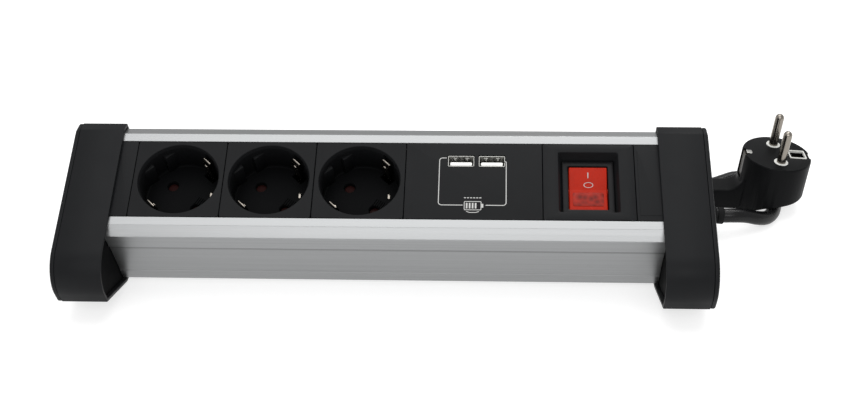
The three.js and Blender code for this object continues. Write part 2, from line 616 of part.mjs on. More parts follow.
function plugInsert(grow) {
  const pad = box(-5.5 - grow, 8 + grow, -13.6 - grow, 13.6 + grow, -INSERT_DEPTH - grow, -1.2 + grow);
  const frame = box(FRAME_X[0] - grow, FRAME_X[1] + grow, -FRAME_HALF - grow, FRAME_HALF + grow,
    -INSERT_DEPTH - grow, 0.4);
  const collars = [-1, 1].map((side) => solid(cylinder(0, side * PIN_OFFSET, COLLAR + grow, -3, 0.4, 24)));
  return join(solid(pad), solid(frame), ...collars);
}

function plugBody() {
  const back = [[20, 0], [20, -20.6], [12, -21.6], [5, -22.4], [-1, -23.5], [-6, -25.2], [-11, -28.4],
    [-16, -32.2], [-20, -33.4], [-20, 0]];
  const sideView = extrude(shapeOf(back.reverse()), 2 * PLUG_RADIUS + 2).translate(0, 0, -PLUG_RADIUS - 1)
    .rotateX(Math.PI / 2);
  const round = turned([[0, -36], [PLUG_RADIUS, -36], [PLUG_RADIUS, -0.8], [PLUG_RADIUS - 0.8, 0], [0, 0]], 48);
  const [x, y, z] = NECK_END;
  const neck = taperedBox(0, 0, [6.1, 6.8], [5.1, 5.1], GAP, 34).rotateY(Math.PI / 2).translate(x, y, z);
  neck.applyMatrix4(intoPlug);
  let body = solid(round).intersect(solid(sideView)).add(solid(neck));
  body = body.subtract(plugInsert(GAP));
  const strips = box(-17.9, 17.9, -3.4, 3.4, -14.8, -13);
  const grooves = [-1, 1].map((side) => solid(
    box(side * 18 - 1.4, side * 18 + 1.4, -3.4, 3.4, -14.8, 1),
  ));
  return cut(body, solid(strips), ...grooves);
}

function plugEarth() {
  const bar = box(-17.6, 17.6, -3, 3, -14.5, -13.5);
  const sides = [-1, 1].map((side) => solid(
    box(side * 17.3 - 0.35, side * 17.3 + 0.35, -3, 3, -14.5, -0.8),
  ));
  return join(solid(bar), ...sides);
}

const insert = cut(
  plugInsert(0),
  solid(box(FRAME_X[0] + 1.2, FRAME_X[1] - 1.2, -FRAME_HALF + 1.2, FRAME_HALF - 1.2, -7, 1)),
  ...[-1, 1].map((side) => solid(cylinder(0, side * PIN_OFFSET, PIN_RADIUS + GAP, -9, 1, 24))),
);
place(plug, 'plug_body', plugBody(), blackPlastic);
place(plug, 'plug_insert', insert, whitePlastic);
place(plug, 'plug_earth_contact', plugEarth(), nickel);
[-1, 1].forEach((side, index) => {
  const tip = PIN_RADIUS * 0.45;
  const pin = turned([[0, -INSERT_DEPTH - 0.2], [PIN_RADIUS, -INSERT_DEPTH - 0.2],
    [PIN_RADIUS, PIN_LENGTH - 2.2], [PIN_RADIUS * 0.82, PIN_LENGTH - 0.8], [tip, PIN_LENGTH], [0, PIN_LENGTH]],
  24);
  place(plug, `plug_pin_${index + 1}`, pin.translate(0, side * PIN_OFFSET, 0), nickel);
});

export default model;
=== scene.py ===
# Desk power strip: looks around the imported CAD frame. Lengths below are millimetres unless a comment
# says metres. Most pieces are drawn in the strip's own frame, as in the CAD: x along the strip from the
# left edge of socket 1, y up the sloping face, z out of the face.
import json
import math

import bmesh
import bpy
from mathutils import Matrix, Vector


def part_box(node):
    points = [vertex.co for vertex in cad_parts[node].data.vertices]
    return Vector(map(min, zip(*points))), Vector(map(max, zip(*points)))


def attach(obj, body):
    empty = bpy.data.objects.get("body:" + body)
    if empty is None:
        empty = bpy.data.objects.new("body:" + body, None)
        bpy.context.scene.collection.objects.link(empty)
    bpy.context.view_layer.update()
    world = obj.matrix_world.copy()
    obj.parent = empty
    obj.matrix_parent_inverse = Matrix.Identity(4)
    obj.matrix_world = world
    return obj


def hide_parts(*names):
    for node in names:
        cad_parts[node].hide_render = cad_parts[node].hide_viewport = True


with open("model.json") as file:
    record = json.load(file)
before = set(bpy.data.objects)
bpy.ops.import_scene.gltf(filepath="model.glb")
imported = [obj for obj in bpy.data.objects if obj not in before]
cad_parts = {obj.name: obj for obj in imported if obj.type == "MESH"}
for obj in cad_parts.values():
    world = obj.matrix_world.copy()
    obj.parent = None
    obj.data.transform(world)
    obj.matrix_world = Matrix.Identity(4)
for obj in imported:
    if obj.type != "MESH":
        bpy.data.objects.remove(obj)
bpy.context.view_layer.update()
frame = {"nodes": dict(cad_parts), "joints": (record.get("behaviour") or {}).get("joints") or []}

# ---- places, from the frame ------------------------------
MM = 0.001
joints = {joint["name"]: joint for joint in frame["joints"]}
normal = Vector(joints["shutter_1_turn"]["axis"]).normalized()
socket_places = [Vector(joints[f"shutter_{k}_turn"]["pos_m"]) / MM for k in (1, 2, 3)]
PITCH = (socket_places[1] - socket_places[0]).x
MODULE = 45.0
HALF = MODULE / 2
PIN_OFFSET = 9.5
SHUTTER_DEPTH = 21.0  # from the face down to the shutter's joint
RECESS = 19.7  # radius of a socket's recess, whose floor is at z = FLOOR
FLOOR = -17.5
SLOPE = math.atan2(-normal.y, normal.z)
up_face = Vector((0, math.cos(SLOPE), math.sin(SLOPE)))
strip_origin = socket_places[0] + normal * SHUTTER_DEPTH - up_face * HALF - Vector((PITCH / 2, 0, 0))
STRIP = Matrix.Translation(strip_origin) @ Matrix.Rotation(SLOPE, 4, "X")
UNMOVED = Matrix.Identity(4)
USB_START = 3 * PITCH
USB_WIDTH = 67.8
SWITCH_START = USB_START + USB_WIDTH
BLANK_START = SWITCH_START + PITCH
BAND_LEFT = -8.3
BAND_RIGHT = BLANK_START + 12.3
CAP_WIDTH = 25.2


def shown(name, data):
    """A new object in the scene."""
    obj = bpy.data.objects.new(name, data)
    bpy.context.scene.collection.objects.link(obj)
    return obj


# ---- camera ----------------------------------------------
# fitted to the photo; the clip distances are metres
CAMERA_PLACE = (52.6, -575.1, 410.4)
CAMERA_FORWARD = (-0.0457, 0.84052, -0.53984)
CAMERA_UP = (-0.00898, 0.54004, 0.84159)
CAMERA_LENS = 57.04


def camera():
    data = bpy.data.cameras.new("camera")
    data.lens = CAMERA_LENS
    data.sensor_width = 36.0
    data.clip_start = 0.01
    data.clip_end = 20.0
    view = shown("camera", data)
    forward = Vector(CAMERA_FORWARD).normalized()
    side = forward.cross(Vector(CAMERA_UP)).normalized()
    up = side.cross(forward)
    turn = Matrix((side, up, -forward)).transposed()
    view.matrix_world = Matrix.Translation(Vector(CAMERA_PLACE) * MM) @ turn.to_4x4()
    bpy.context.scene.camera = view


# ---- mesh helpers ----------------------------------------
def mesh_object(name, verts, faces, matrix=UNMOVED, smooth=35.0):
    """A mesh from millimetre points, put in place by a matrix and shaded smooth up to an angle."""
    mesh = bpy.data.meshes.new(name)
    mesh.from_pydata([matrix @ Vector(v) for v in verts], [], faces)
    work = bmesh.new()
    work.from_mesh(mesh)
    bmesh.ops.remove_doubles(work, verts=work.verts, dist=1e-4)
    wide = [face for face in work.faces if len(face.verts) > 4]
    bmesh.ops.triangulate(work, faces=wide, ngon_method="EAR_CLIP")
    bmesh.ops.scale(work, vec=(MM, MM, MM), verts=work.verts)
    work.to_mesh(mesh)
    work.free()
    obj = shown(name, mesh)
    tidy(obj, smooth)
    return obj


def tidy(obj, smooth=35.0):
    """Faces turned outwards, and edges sharper than an angle kept sharp."""
    work = bmesh.new()
    work.from_mesh(obj.data)
    bmesh.ops.recalc_face_normals(work, faces=work.faces)
    for face in work.faces:
        face.smooth = True
    for edge in work.edges:
        sharp = len(edge.link_faces) == 2 and edge.calc_face_angle(0) > math.radians(smooth)
        edge.smooth = not sharp
    work.to_mesh(obj.data)
    work.free()


def loft_data(rings, closed=False):
    """Points and faces of a skin over rings of equal size, with both ends filled unless it closes."""
    count = len(rings[0])
    verts = [point for ring in rings for point in ring]
    faces = []
    last = len(rings) if closed else len(rings) - 1
    for k in range(last):
        a, b = k * count, ((k + 1) % len(rings)) * count
        for i in range(count):
            j = (i + 1) % count
            faces.append((a + i, a + j, b + j, b + i))
    if not closed:
        faces.append(tuple(range(count))[::-1])
        faces.append(tuple(range(len(verts) - count, len(verts))))
    return verts, faces


def loft(name, rings, matrix=UNMOVED, closed=False, smooth=35.0):
    verts, faces = loft_data(rings, closed)
    return mesh_object(name, verts, faces, matrix, smooth)


def outline(corners, amount=0.0, steps=6):
    """A closed outline with an arc at each corner (a, b, radius), moved inwards by an amount."""
    here = [Vector(corner[:2]) for corner in corners]
    count = len(corners)
    turn = 1 if sum(here[i - 1].cross(here[i]) for i in range(count)) > 0 else -1
    points = []
    for i, corner in enumerate(corners):
        before = (here[i] - here[i - 1]).normalized()
        after = (here[(i + 1) % count] - here[i]).normalized()
        bend = math.atan2(before.cross(after), before.dot(after))
        side = Vector((-before.y, before.x))
        other = Vector((-after.y, after.x))
        moved = here[i] + (side + other) * turn * amount / (1 + before.dot(after))
        if corner[2] <= 0 or abs(bend) < 0.01:
            points.append((moved.x, moved.y))
            continue
        way = 1 if bend > 0 else -1
        radius = max(0.02, corner[2] - amount * way * turn)
        start = moved - before * radius * math.tan(abs(bend) / 2)
        centre = start + side * radius * way
        first = math.atan2(*(start - centre).yx)
        for k in range(steps + 1):
            angle = first + bend * k / steps
            points.append((centre.x + radius * math.cos(angle), centre.y + radius * math.sin(angle)))
    return points


def edge_steps(edge, steps=3):
    """(amount moved inwards, distance) pairs of a rounded edge, from the end face on."""
    return [(edge * (1 - math.sin(t)), edge * (1 - math.cos(t)))
            for t in [math.pi / 2 * k / steps for k in range(steps + 1)]]


def prism(corners, low, high, edge=0.4, axis="z", steps=3, arc=6):
    """Rings of a prism with rounded end edges, along z, x or y."""
    place = {"z": lambda p, t: (p[0], p[1], t), "x": lambda p, t: (t, p[0], p[1]),
             "y": lambda p, t: (p[0], t, p[1])}[axis]
    rings = [[place(p, low + d) for p in outline(corners, i, arc)] for i, d in edge_steps(edge, steps)]
    ends = edge_steps(edge, steps)[::-1]
    return rings + [[place(p, high - d) for p in outline(corners, i, arc)] for i, d in ends]


def stacked(corners, steps):
    """Rings of an outline at (amount moved inwards, height) steps."""
    return [[(a, b, height) for a, b in outline(corners, amount)] for amount, height in steps]


def rectangle(x0, x1, y0, y1, radius=0.5):
    return [(x0, y0, radius), (x1, y0, radius), (x1, y1, radius), (x0, y1, radius)]


def both_sides(low, high):
    """A range of x and its mirror image, the mirror image first."""
    return (-high, -low), (low, high)


def block(name, x0, x1, y0, y1, z0, z1, matrix=STRIP, edge=0.3, radius=0.6):
    return loft(name, prism(rectangle(x0, x1, y0, y1, radius), z0, z1, edge), matrix)


def circle(radius, count=64, z=0.0):
    turns = [2 * math.pi * i / count for i in range(count)]
    return [(radius * math.cos(turn), radius * math.sin(turn), z) for turn in turns]


def arc_points(x, y, radius, first, last, steps=8):
    """Points of an arc about (x, y), between two angles in degrees."""
    turns = [math.radians(first + (last - first) * k / steps) for k in range(steps + 1)]
    return [(x + radius * math.cos(turn), y + radius * math.sin(turn)) for turn in turns]


def spun(angle, axis="Z"):
    """A turn by degrees about an axis."""
    return Matrix.Rotation(math.radians(angle), 4, axis)


def turned(name, profile, matrix, count=64, smooth=35.0):
    """A body turned about z; its profile is (radius, height) pairs."""
    return loft(name, [circle(r, count, z=h) for r, h in profile], matrix, smooth=smooth)


def apply_modifiers(obj, smooth):
    """The piece takes the shape its modifiers give it, for good."""
    bpy.context.view_layer.update()
    result = obj.evaluated_get(bpy.context.evaluated_depsgraph_get())
    mesh = bpy.data.meshes.new_from_object(result)
    obj.modifiers.clear()
    obj.data = mesh
    tidy(obj, smooth)


def boolean(obj, tool, operation="DIFFERENCE", smooth=35.0):
    """Cuts a tool out of a piece, or joins it on."""
    modifier = obj.modifiers.new("cut", "BOOLEAN")
    modifier.operation = operation
    modifier.solver = "EXACT"
    modifier.object = tool
    apply_modifiers(obj, smooth)
    bpy.data.objects.remove(tool)


def join(name, objects):
    """One piece from several."""
    work = bmesh.new()
    for obj in objects:
        work.from_mesh(obj.data)
    mesh = bpy.data.meshes.new(name)
    work.to_mesh(mesh)
    work.free()
    joined = shown(name, mesh)
    for obj in objects:
        bpy.data.objects.remove(obj)
    return joined


def paint(obj, look):
    obj.data.materials.clear()
    obj.data.materials.append(MATERIALS[look])


def use(obj, node, look, body="root", others=()):
    """The piece stands for a CAD node (and maybe others), rides on its body and takes a material."""
    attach(obj, body)
    if node:
        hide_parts(node, *others)
    paint(obj, look)
    return obj


# ---- materials -------------------------------------------
class Finish:
    """A node material built step by step, in object space."""

    def __init__(self, name, colour, roughness, metallic=0.0):
        self.material = bpy.data.materials.new(name)
        self.material.use_nodes = True
        self.tree = self.material.node_tree
        self.shader = self.tree.nodes["Principled BSDF"]
        self.shader.inputs["Base Color"].default_value = (*colour, 1)
        self.shader.inputs["Roughness"].default_value = roughness
        self.shader.inputs["Metallic"].default_value = metallic
        self.colour = colour
        self.roughness = roughness
        self.bumped = None

    def node(self, kind, **values):
        made = self.tree.nodes.new(kind)
        for key, value in values.items():
            if key in made.inputs:
                made.inputs[key].default_value = value
            else:
                setattr(made, key, value)
        return made

    def link(self, source, target):
        self.tree.links.new(source, target)

    def coordinates(self, scale=(1, 1, 1)):
        source = self.node("ShaderNodeTexCoord")
        mapping = self.node("ShaderNodeMapping", Scale=scale)
        self.link(source.outputs["Object"], mapping.inputs["Vector"])
        return mapping.outputs["Vector"]

    def noise(self, size, detail=3.0, scale=(1, 1, 1)):
        """Noise whose features are about size millimetres across."""
        texture = self.node("ShaderNodeTexNoise", Scale=1 / (size * MM), Detail=detail)
        self.link(self.coordinates(scale), texture.inputs["Vector"])
        return texture.outputs["Fac"]

    def ranged(self, value, low, high, start=0.3, end=0.7):
        mapping = self.node("ShaderNodeMapRange")
        for key, number in (("From Min", start), ("From Max", end), ("To Min", low), ("To Max", high)):
            mapping.inputs[key].default_value = number
        self.link(value, mapping.inputs["Value"])
        return mapping.outputs["Result"]

    def tint(self, value, dark, light):
        """The base colour runs between a darker and a lighter tone."""
        ramp = self.node("ShaderNodeValToRGB")
        ramp.color_ramp.elements[0].color = (*[c * dark for c in self.colour], 1)
        ramp.color_ramp.elements[1].color = (*[min(1, c * light) for c in self.colour], 1)
        self.link(value, ramp.inputs["Fac"])
        self.link(ramp.outputs["Color"], self.shader.inputs["Base Color"])
        return self

    def rough(self, value, low, high):
        self.link(self.ranged(value, low, high), self.shader.inputs["Roughness"])
        return self

    def bump(self, value, height, strength=0.5):
        made = self.node("ShaderNodeBump", Strength=strength, Distance=height * MM)
        self.link(value, made.inputs["Height"])
        if self.bumped:
            self.link(self.bumped, made.inputs["Normal"])
        self.bumped = made.outputs["Normal"]
        self.link(self.bumped, self.shader.inputs["Normal"])
        return self

    def along_normal(self):
        """The distance out of the strip's face, in metres, at each shaded point."""
        source = self.node("ShaderNodeTexCoord")
        along = self.node("ShaderNodeVectorMath", operation="DOT_PRODUCT")
        along.inputs[1].default_value = tuple(normal)
        self.link(source.outputs["Object"], along.inputs[0])
        shift = self.node("ShaderNodeMath", operation="SUBTRACT")
        shift.inputs[1].default_value = normal.dot(strip_origin) * MM
        self.link(along.outputs["Value"], shift.inputs[0])
        return shift.outputs["Value"]

    def set(self, **values):
        for key, value in values.items():
            self.shader.inputs[key.replace("_", " ")].default_value = value
        return self


def moulded(name, colour, roughness, grain=0.35, depth=0.02, level=0.08):
    """Injection-moulded plastic: a fine spark-eroded grain and slow changes of tone and gloss."""
    look = Finish(name, colour, roughness).set(Specular_IOR_Level=level)
    fine = look.noise(grain, 4.0)
    slow = look.noise(14.0, 3.0)
    look.tint(slow, 0.86, 1.16).rough(slow, roughness - 0.06, roughness + 0.07)
    return look.bump(fine, depth, 0.45).material


def glossy(name, colour, roughness, level=0.3):
    """Smooth PVC or polished plastic with slight waviness."""
    look = Finish(name, colour, roughness).set(Specular_IOR_Level=level)
    slow = look.noise(9.0, 3.0)
    fine = look.noise(1.2, 2.0)
    look.tint(slow, 0.85, 1.2).rough(fine, roughness - 0.05, roughness + 0.08)
    return look.bump(slow, 0.05, 0.25).material


def extruded_aluminium():
    """Satin anodised aluminium with die lines along its length, and a painted shadow line just under the
    front step.
    """
    look = Finish("aluminium", (0.283, 0.288, 0.291), 0.36, 1.0)
    lines = look.noise(0.5, 3.0, scale=(0.004, 1, 1))
    broad = look.noise(1.1, 3.0, scale=(0.006, 1, 1))
    grain = look.noise(0.2, 2.0)
    look.tint(look.ranged(broad, 0.0, 1.0, 0.38, 0.62), 0.955, 1.045).rough(broad, 0.33, 0.42)
    streaks = look.shader.inputs["Base Color"].links[0].from_socket
    # painted shade: a dark band in the base colour just below the front step, where the ledge's shadow falls
    step = look.node("ShaderNodeValToRGB")
    low, high = -16.5 * MM, -12.5 * MM
    look.link(look.ranged(look.along_normal(), 0, 1, low, high), step.inputs["Fac"])
    step.color_ramp.elements[0].color = (1, 1, 1, 1)
    for place, tone in ((0.15, 1.0), (0.42, 0.72), (0.6, 0.6), (0.68, 1.0)):
        step.color_ramp.elements.new(place).color = (tone, tone, tone, 1)
    mixed = look.node("ShaderNodeMix", data_type="RGBA", blend_type="MULTIPLY")
    mixed.inputs[0].default_value = 1.0
    look.link(streaks, mixed.inputs[6])
    look.link(step.outputs["Color"], mixed.inputs[7])
    look.link(mixed.outputs[2], look.shader.inputs["Base Color"])
    return look.bump(lines, 0.014, 0.4).bump(grain, 0.006, 0.25).material


def metal(name, colour, roughness, grain=0.5):
    look = Finish(name, colour, roughness, 1.0)
    slow = look.noise(4.0, 3.0)
    fine = look.noise(grain, 3.0)
    look.tint(slow, 0.85, 1.05).rough(fine, roughness - 0.05, roughness + 0.1)
    return look.bump(fine, 0.01, 0.3).material


def rocker_red():
    """Clear red plastic with the lamp's glow behind it."""
    look = Finish("rocker_red", (0.30, 0.012, 0.004), 0.26)
    slow = look.noise(5.0, 3.0)
    look.tint(slow, 0.78, 1.18).rough(slow, 0.22, 0.34).bump(look.noise(2.5, 2.0), 0.04, 0.2)
    look.set(Emission_Color=(0.75, 0.05, 0.015, 1), Emission_Strength=0.06)
    return look.set(Specular_IOR_Level=0.07).material


def lens_red():
    """The darker, ribbed window in the rocker's lower half."""
    look = Finish("lens_red", (0.15, 0.007, 0.003), 0.22)
    facets = look.node("ShaderNodeTexVoronoi", Scale=1 / (3.2 * MM))
    look.link(look.coordinates(), facets.inputs["Vector"])
    look.tint(facets.outputs["Distance"], 0.35, 2.0)
    look.bump(facets.outputs["Distance"], 0.3, 0.5).set(Specular_IOR_Level=0.12)
    return look.set(Emission_Color=(0.6, 0.04, 0.01, 1), Emission_Strength=0.06).material


def socket_black_painted_shade():
    """The socket's black with painted shade: darker and with less sheen towards the bottom of the recess."""
    look = Finish("black_socket", (0.0072, 0.0075, 0.0081), 0.4).set(Specular_IOR_Level=0.07)
    depth = look.ranged(look.along_normal(), 0.0, 1.0, FLOOR * MM, 0.0)
    grain = look.noise(0.3, 4.0)
    # painted shade: the base colour darkens towards the recess floor
    look.tint(depth, 0.5, 1.05).rough(look.noise(14.0), 0.36, 0.46)
    # painted shade: the sheen fades towards the recess floor
    shine = look.ranged(depth, 0.015, 0.065, 0.0, 1.0)
    look.link(shine, look.shader.inputs["Specular IOR Level"])
    return look.bump(grain, 0.012, 0.4).material


def nickel_with_painted_shade():
    """Nickel seen deep in a slot, its colour darkened as painted shade."""
    look = Finish("nickel_painted_shade", (0.045, 0.04, 0.033), 0.55, 0.2).set(Specular_IOR_Level=0.1)
    slow = look.noise(3.0, 3.0)
    return look.tint(slow, 0.6, 1.3).rough(slow, 0.28, 0.45).bump(look.noise(0.4), 0.01, 0.3).material


MATERIALS = {
    "black": moulded("black_plastic", (0.0082, 0.0086, 0.0094), 0.46),
    "black_fine": moulded("black_module", (0.0072, 0.0076, 0.0083), 0.42, 0.25, 0.012),
    # painted shade: a near-black that stands in for the shade inside the end caps and the plug's earth
    # opening
    "black_painted_shade": moulded("black_painted_shade", (0.0028, 0.0029, 0.0031), 0.7, 0.5, 0.03, 0.02),
    "black_socket": socket_black_painted_shade(),
    "black_plug": moulded("black_plug", (0.0046, 0.0048, 0.0052), 0.42, 0.4, 0.02, 0.05),
    "dark": glossy("dark_plastic", (0.0062, 0.0062, 0.0068), 0.34, 0.1),
    "cord": glossy("cord_jacket", (0.0035, 0.0035, 0.004), 0.26, 0.22),
    "rubber": moulded("rubber", (0.0075, 0.0078, 0.0082), 0.65, 0.5, 0.03),
    "white": moulded("white_plastic", (0.6, 0.6, 0.575), 0.4, 0.4, 0.01),
    "tongue": moulded("tongue_plastic", (0.82, 0.82, 0.8), 0.4, 0.4, 0.01),
    "shutter": moulded("shutter_plastic", (0.017, 0.0042, 0.0038), 0.5),
    "aluminium": extruded_aluminium(),
    "nickel": metal("nickel", (0.25, 0.228, 0.2), 0.17),
    "port": metal("port_steel", (0.42, 0.42, 0.40), 0.3),
    "nickel_with_painted_shade": nickel_with_painted_shade(),
    "steel": metal("steel", (0.5, 0.51, 0.52), 0.32),
    "brass": metal("brass", (0.62, 0.45, 0.17), 0.3),
    "board": moulded("circuit_board", (0.02, 0.11, 0.05), 0.45, 0.8, 0.02),
    "live": glossy("live_insulation", (0.14, 0.06, 0.025), 0.4),
    "neutral": glossy("neutral_insulation", (0.03, 0.12, 0.38), 0.4),
    "earth": glossy("earth_insulation", (0.22, 0.34, 0.03), 0.4),
    "print": moulded("grey_print", (0.42, 0.42, 0.41), 0.55, 0.3, 0.004),
    "rocker": rocker_red(),
    "lens": lens_red(),
}


# ---- cord ------------------------------------------------
CORD_RADIUS = 3.8
CORD_LIES = 3.9  # height of the cord's middle on the desk
LAYER = 7.8
GLAND_PLACE = (160.0, 38.88, 12.0)
NECK_END = (159, 66.5, 7.9)
HANK_LEFT, HANK_RIGHT, HANK_Y = -48.0, 94.0, 89.3
HANK_INNER = 24.0
TIE_X = 23.0
TIE_LIFT = 1.05
TIE_PULL = 0.9
DOWN_TO_DESK = [(160.3, 38.9, 12), (168, 38.9, 11.6), (175.6, 38.9, 11), (181, 39.1, 11), (188, 40.8, 9.7),
                (194.5, 42.8, 7.2), (200.2, 46.9, 4.7)]
ON_DESK = [(204.3, 52.6), (206.9, 60.4), (207.9, 70.4), (205.6, 79.6), (201, 86), (194.8, 89.4), (188.4, 89),
           (182.8, 85.9), (176.8, 82.4), (169.8, 80.4), (161.8, 81), (154.2, 84.4), (147.4, 90), (141, 97),
           (134.5, 104.3), (127.5, 110.7), (119, 116.2), (110, 119.8), (100, 121.1)]
FROM_STRIP = DOWN_TO_DESK + [(x, y, CORD_LIES) for x, y in ON_DESK]
TO_PLUG = [(100, 58.2, 12.1), (110, 60.4, 12.1), (120, 63, 12), (130, 65, 11.2), (140, 66.2, 9.8),
           (150, 66.6, 8.6), NECK_END]


def ease(value, start, end):
    t = min(1.0, max(0.0, (value - start) / (end - start)))
    return t * t * (3 - 2 * t)


def smooth_route(points, spacing=2.0):
    """A centripetal Catmull-Rom curve through the points."""
    pts = [Vector(p) for p in points]
    pts = [2 * pts[0] - pts[1]] + pts + [2 * pts[-1] - pts[-2]]
    route = []
    for p0, p1, p2, p3 in zip(pts, pts[1:], pts[2:], pts[3:]):
        knots = [0.0]
        for a, b in ((p0, p1), (p1, p2), (p2, p3)):
            knots.append(knots[-1] + math.sqrt((b - a).length))
        t0, t1, t2, t3 = knots
        steps = max(1, round((p2 - p1).length / spacing))
        for k in range(steps):
            t = t1 + (t2 - t1) * k / steps
            a1 = p0 * ((t1 - t) / (t1 - t0)) + p1 * ((t - t0) / (t1 - t0))
            a2 = p1 * ((t2 - t) / (t2 - t1)) + p2 * ((t - t1) / (t2 - t1))
            a3 = p2 * ((t3 - t) / (t3 - t2)) + p3 * ((t - t2) / (t3 - t2))
            b1 = a1 * ((t2 - t) / (t2 - t0)) + a2 * ((t - t0) / (t2 - t0))
            b2 = a2 * ((t3 - t) / (t3 - t1)) + a3 * ((t - t1) / (t3 - t1))
            route.append(b1 * ((t2 - t) / (t2 - t1)) + b2 * ((t - t1) / (t2 - t1)))
    return route + [pts[-2]]


def hank_route():
    """Two layers of folded runs, wound inwards from the back and left on top at the front."""
    route = []

    def run(y, start, end, height=lambda x: CORD_LIES, shift=lambda x: 0.0):
        steps = round(abs(end - start) / 2)
        for k in range(1, steps + 1):
            x = start + (end - start) * k / steps
            route.append(Vector((x, y + shift(x), height(x))))

    def fold(x, y, radius, side, z):
        """Half a turn, from the back to the front at the left (side -1), or back again at the right."""
        steps = round(math.pi * radius / 2)
        for k in range(1, steps + 1):
            turn = math.pi * k / steps
            route.append(Vector((x + side * radius * math.sin(turn), y - side * radius * math.cos(turn), z)))

    inner = HANK_INNER
    top = CORD_LIES + LAYER
    second = HANK_RIGHT - 8
    run(HANK_Y + inner + LAYER, 100, HANK_LEFT)
    fold(HANK_LEFT, HANK_Y, inner + LAYER, -1, CORD_LIES)
    run(HANK_Y - inner - LAYER, HANK_LEFT, HANK_RIGHT)
    fold(HANK_RIGHT, HANK_Y - LAYER / 2, inner + LAYER / 2, 1, CORD_LIES)
    run(HANK_Y + inner, HANK_RIGHT, HANK_LEFT)
    fold(HANK_LEFT, HANK_Y, inner, -1, CORD_LIES)
    run(HANK_Y - inner, HANK_LEFT, second, lambda x: CORD_LIES + LAYER * ease(x, 34, second))
    fold(second, HANK_Y, inner, 1, top)
    run(HANK_Y + inner, second, HANK_LEFT, lambda x: top)
    fold(HANK_LEFT, HANK_Y, inner, -1, top)
    run(HANK_Y - inner, HANK_LEFT, 98, lambda x: top + 0.4 * ease(x, 60, 98),
        lambda x: -LAYER * ease(x, -42, 14) + 0.7 * ease(x, 60, 98))
    return route


def at_tie(point):
    """The strap lifts the runs a little and draws them together."""
    near = math.exp(-((point.x - TIE_X) / 16) ** 2) if 50 < point.y and point.x < 100 else 0.0
    inward = TIE_PULL * near * (1 if point.y < HANK_Y else -1)
    return Vector((point.x, point.y + inward, point.z + TIE_LIFT * near))


def cord_points():
    route = smooth_route(FROM_STRIP) + hank_route() + smooth_route(TO_PLUG)
    return [at_tie(p) for p in route]


def supply_cord():
    """The whole cord as one swept tube, with its ring carried along without a twist."""
    points = cord_points()
    side = Vector((0, 0, 1))
    rings = []
    for i, point in enumerate(points):
        along = (points[min(i + 1, len(points) - 1)] - points[max(i - 1, 0)]).normalized()
        side = (side - along * side.dot(along)).normalized()
        other = along.cross(side)
        rings.append([point + side * a + other * b for a, b, _ in circle(CORD_RADIUS, 20)])
    cord = loft("supply_cord", rings)
    path = [point * MM for point in points]
    length = sum((b - a).length for a, b in zip(path, path[1:]))
    use(cord, "cord_from_strip", "cord", others=("cord_hank", "cord_to_plug"))
    return cord, path, length


def strap_ring(grow):
    """The tie's section round the two bundles of runs, as (y, z) points."""
    reach = CORD_RADIUS + 0.15 + grow
    low = CORD_LIES + TIE_LIFT
    high = low + LAYER
    inner = HANK_INNER - TIE_PULL
    outer = inner + LAYER
    points = []
    for y, z, first, last in ((-outer, low, 180, 270), (outer, low, 270, 395), (inner, high, 35, 90),
                              (-outer, high, 90, 180)):
        points += arc_points(HANK_Y + y, z, reach, first, last, max(3, round((last - first) / 12)))
    return points


def cord_tie():
    """A hook-and-loop strap with its free end laid over itself."""
    half, thick, edge = 5.8, 0.8, 0.3
    inner, soft, outer = strap_ring(0), strap_ring(thick - edge), strap_ring(thick)
    rings = []
    for section, x in ((inner, -half), (soft, -half), (outer, edge - half), (outer, half - edge),
                       (soft, half), (inner, half)):
        rings.append([(TIE_X + x, y, z) for y, z in section])
    strap = loft("strap", rings, closed=True)
    top = CORD_LIES + LAYER + CORD_RADIUS + 2.25
    border = rectangle(TIE_X - 5.4, TIE_X + 5.4, HANK_Y - 22, HANK_Y + 8, 2.0)
    flap = loft("flap", prism(border, top - 0.1, top + thick, 0.25))
    tie = join("cord_strap", [strap, flap])
    return use(tie, "cord_tie", "rubber")


def cable_gland():
    """Flange, and a tapered relief with three ribs that droops under the cord."""
    mouth = Matrix.Translation(GLAND_PLACE)
    place = mouth @ spun(90, "Y")
    flange = turned("flange", [(3.95, -0.6), (5.9, -0.6), (6.3, 0.2), (6.3, 1.2), (5.9, 1.6), (4.6, 1.6)],
                    place)
    droop = place @ spun(4, "Y")
    profile = [(3.86, 0.6), (5.6, 0.6)]
    for k in range(4):
        start = 2.6 + 2.9 * k
        radius = 5.5 - 0.3 * k
        profile += [(radius, start), (radius - 0.15, start + 0.2), (radius - 0.75, start + 0.45),
                    (radius - 0.75, start + 0.95), (radius - 0.2, start + 1.2), (radius - 0.15, start + 1.4)]
    profile += [(4.5, 15.0), (4.2, 15.5), (3.84, 15.7)]
    taper = turned("taper", profile, droop)
    bore_line = [(3.4, 0.2), (3.6, 5.7), (4.8, 5.7), (4.8, 8.1), (3.6, 8.1), (3.6, 12.7), (3.3, 13)]
    tail = turned("tail", bore_line, mouth @ spun(-90, "Y"), 40)
    return use(join("gland", [flange, taper, tail]), "cable_gland", "rubber")


# ---- trunking --------------------------------------------
WALL = 1.8
DEEP = -45.6


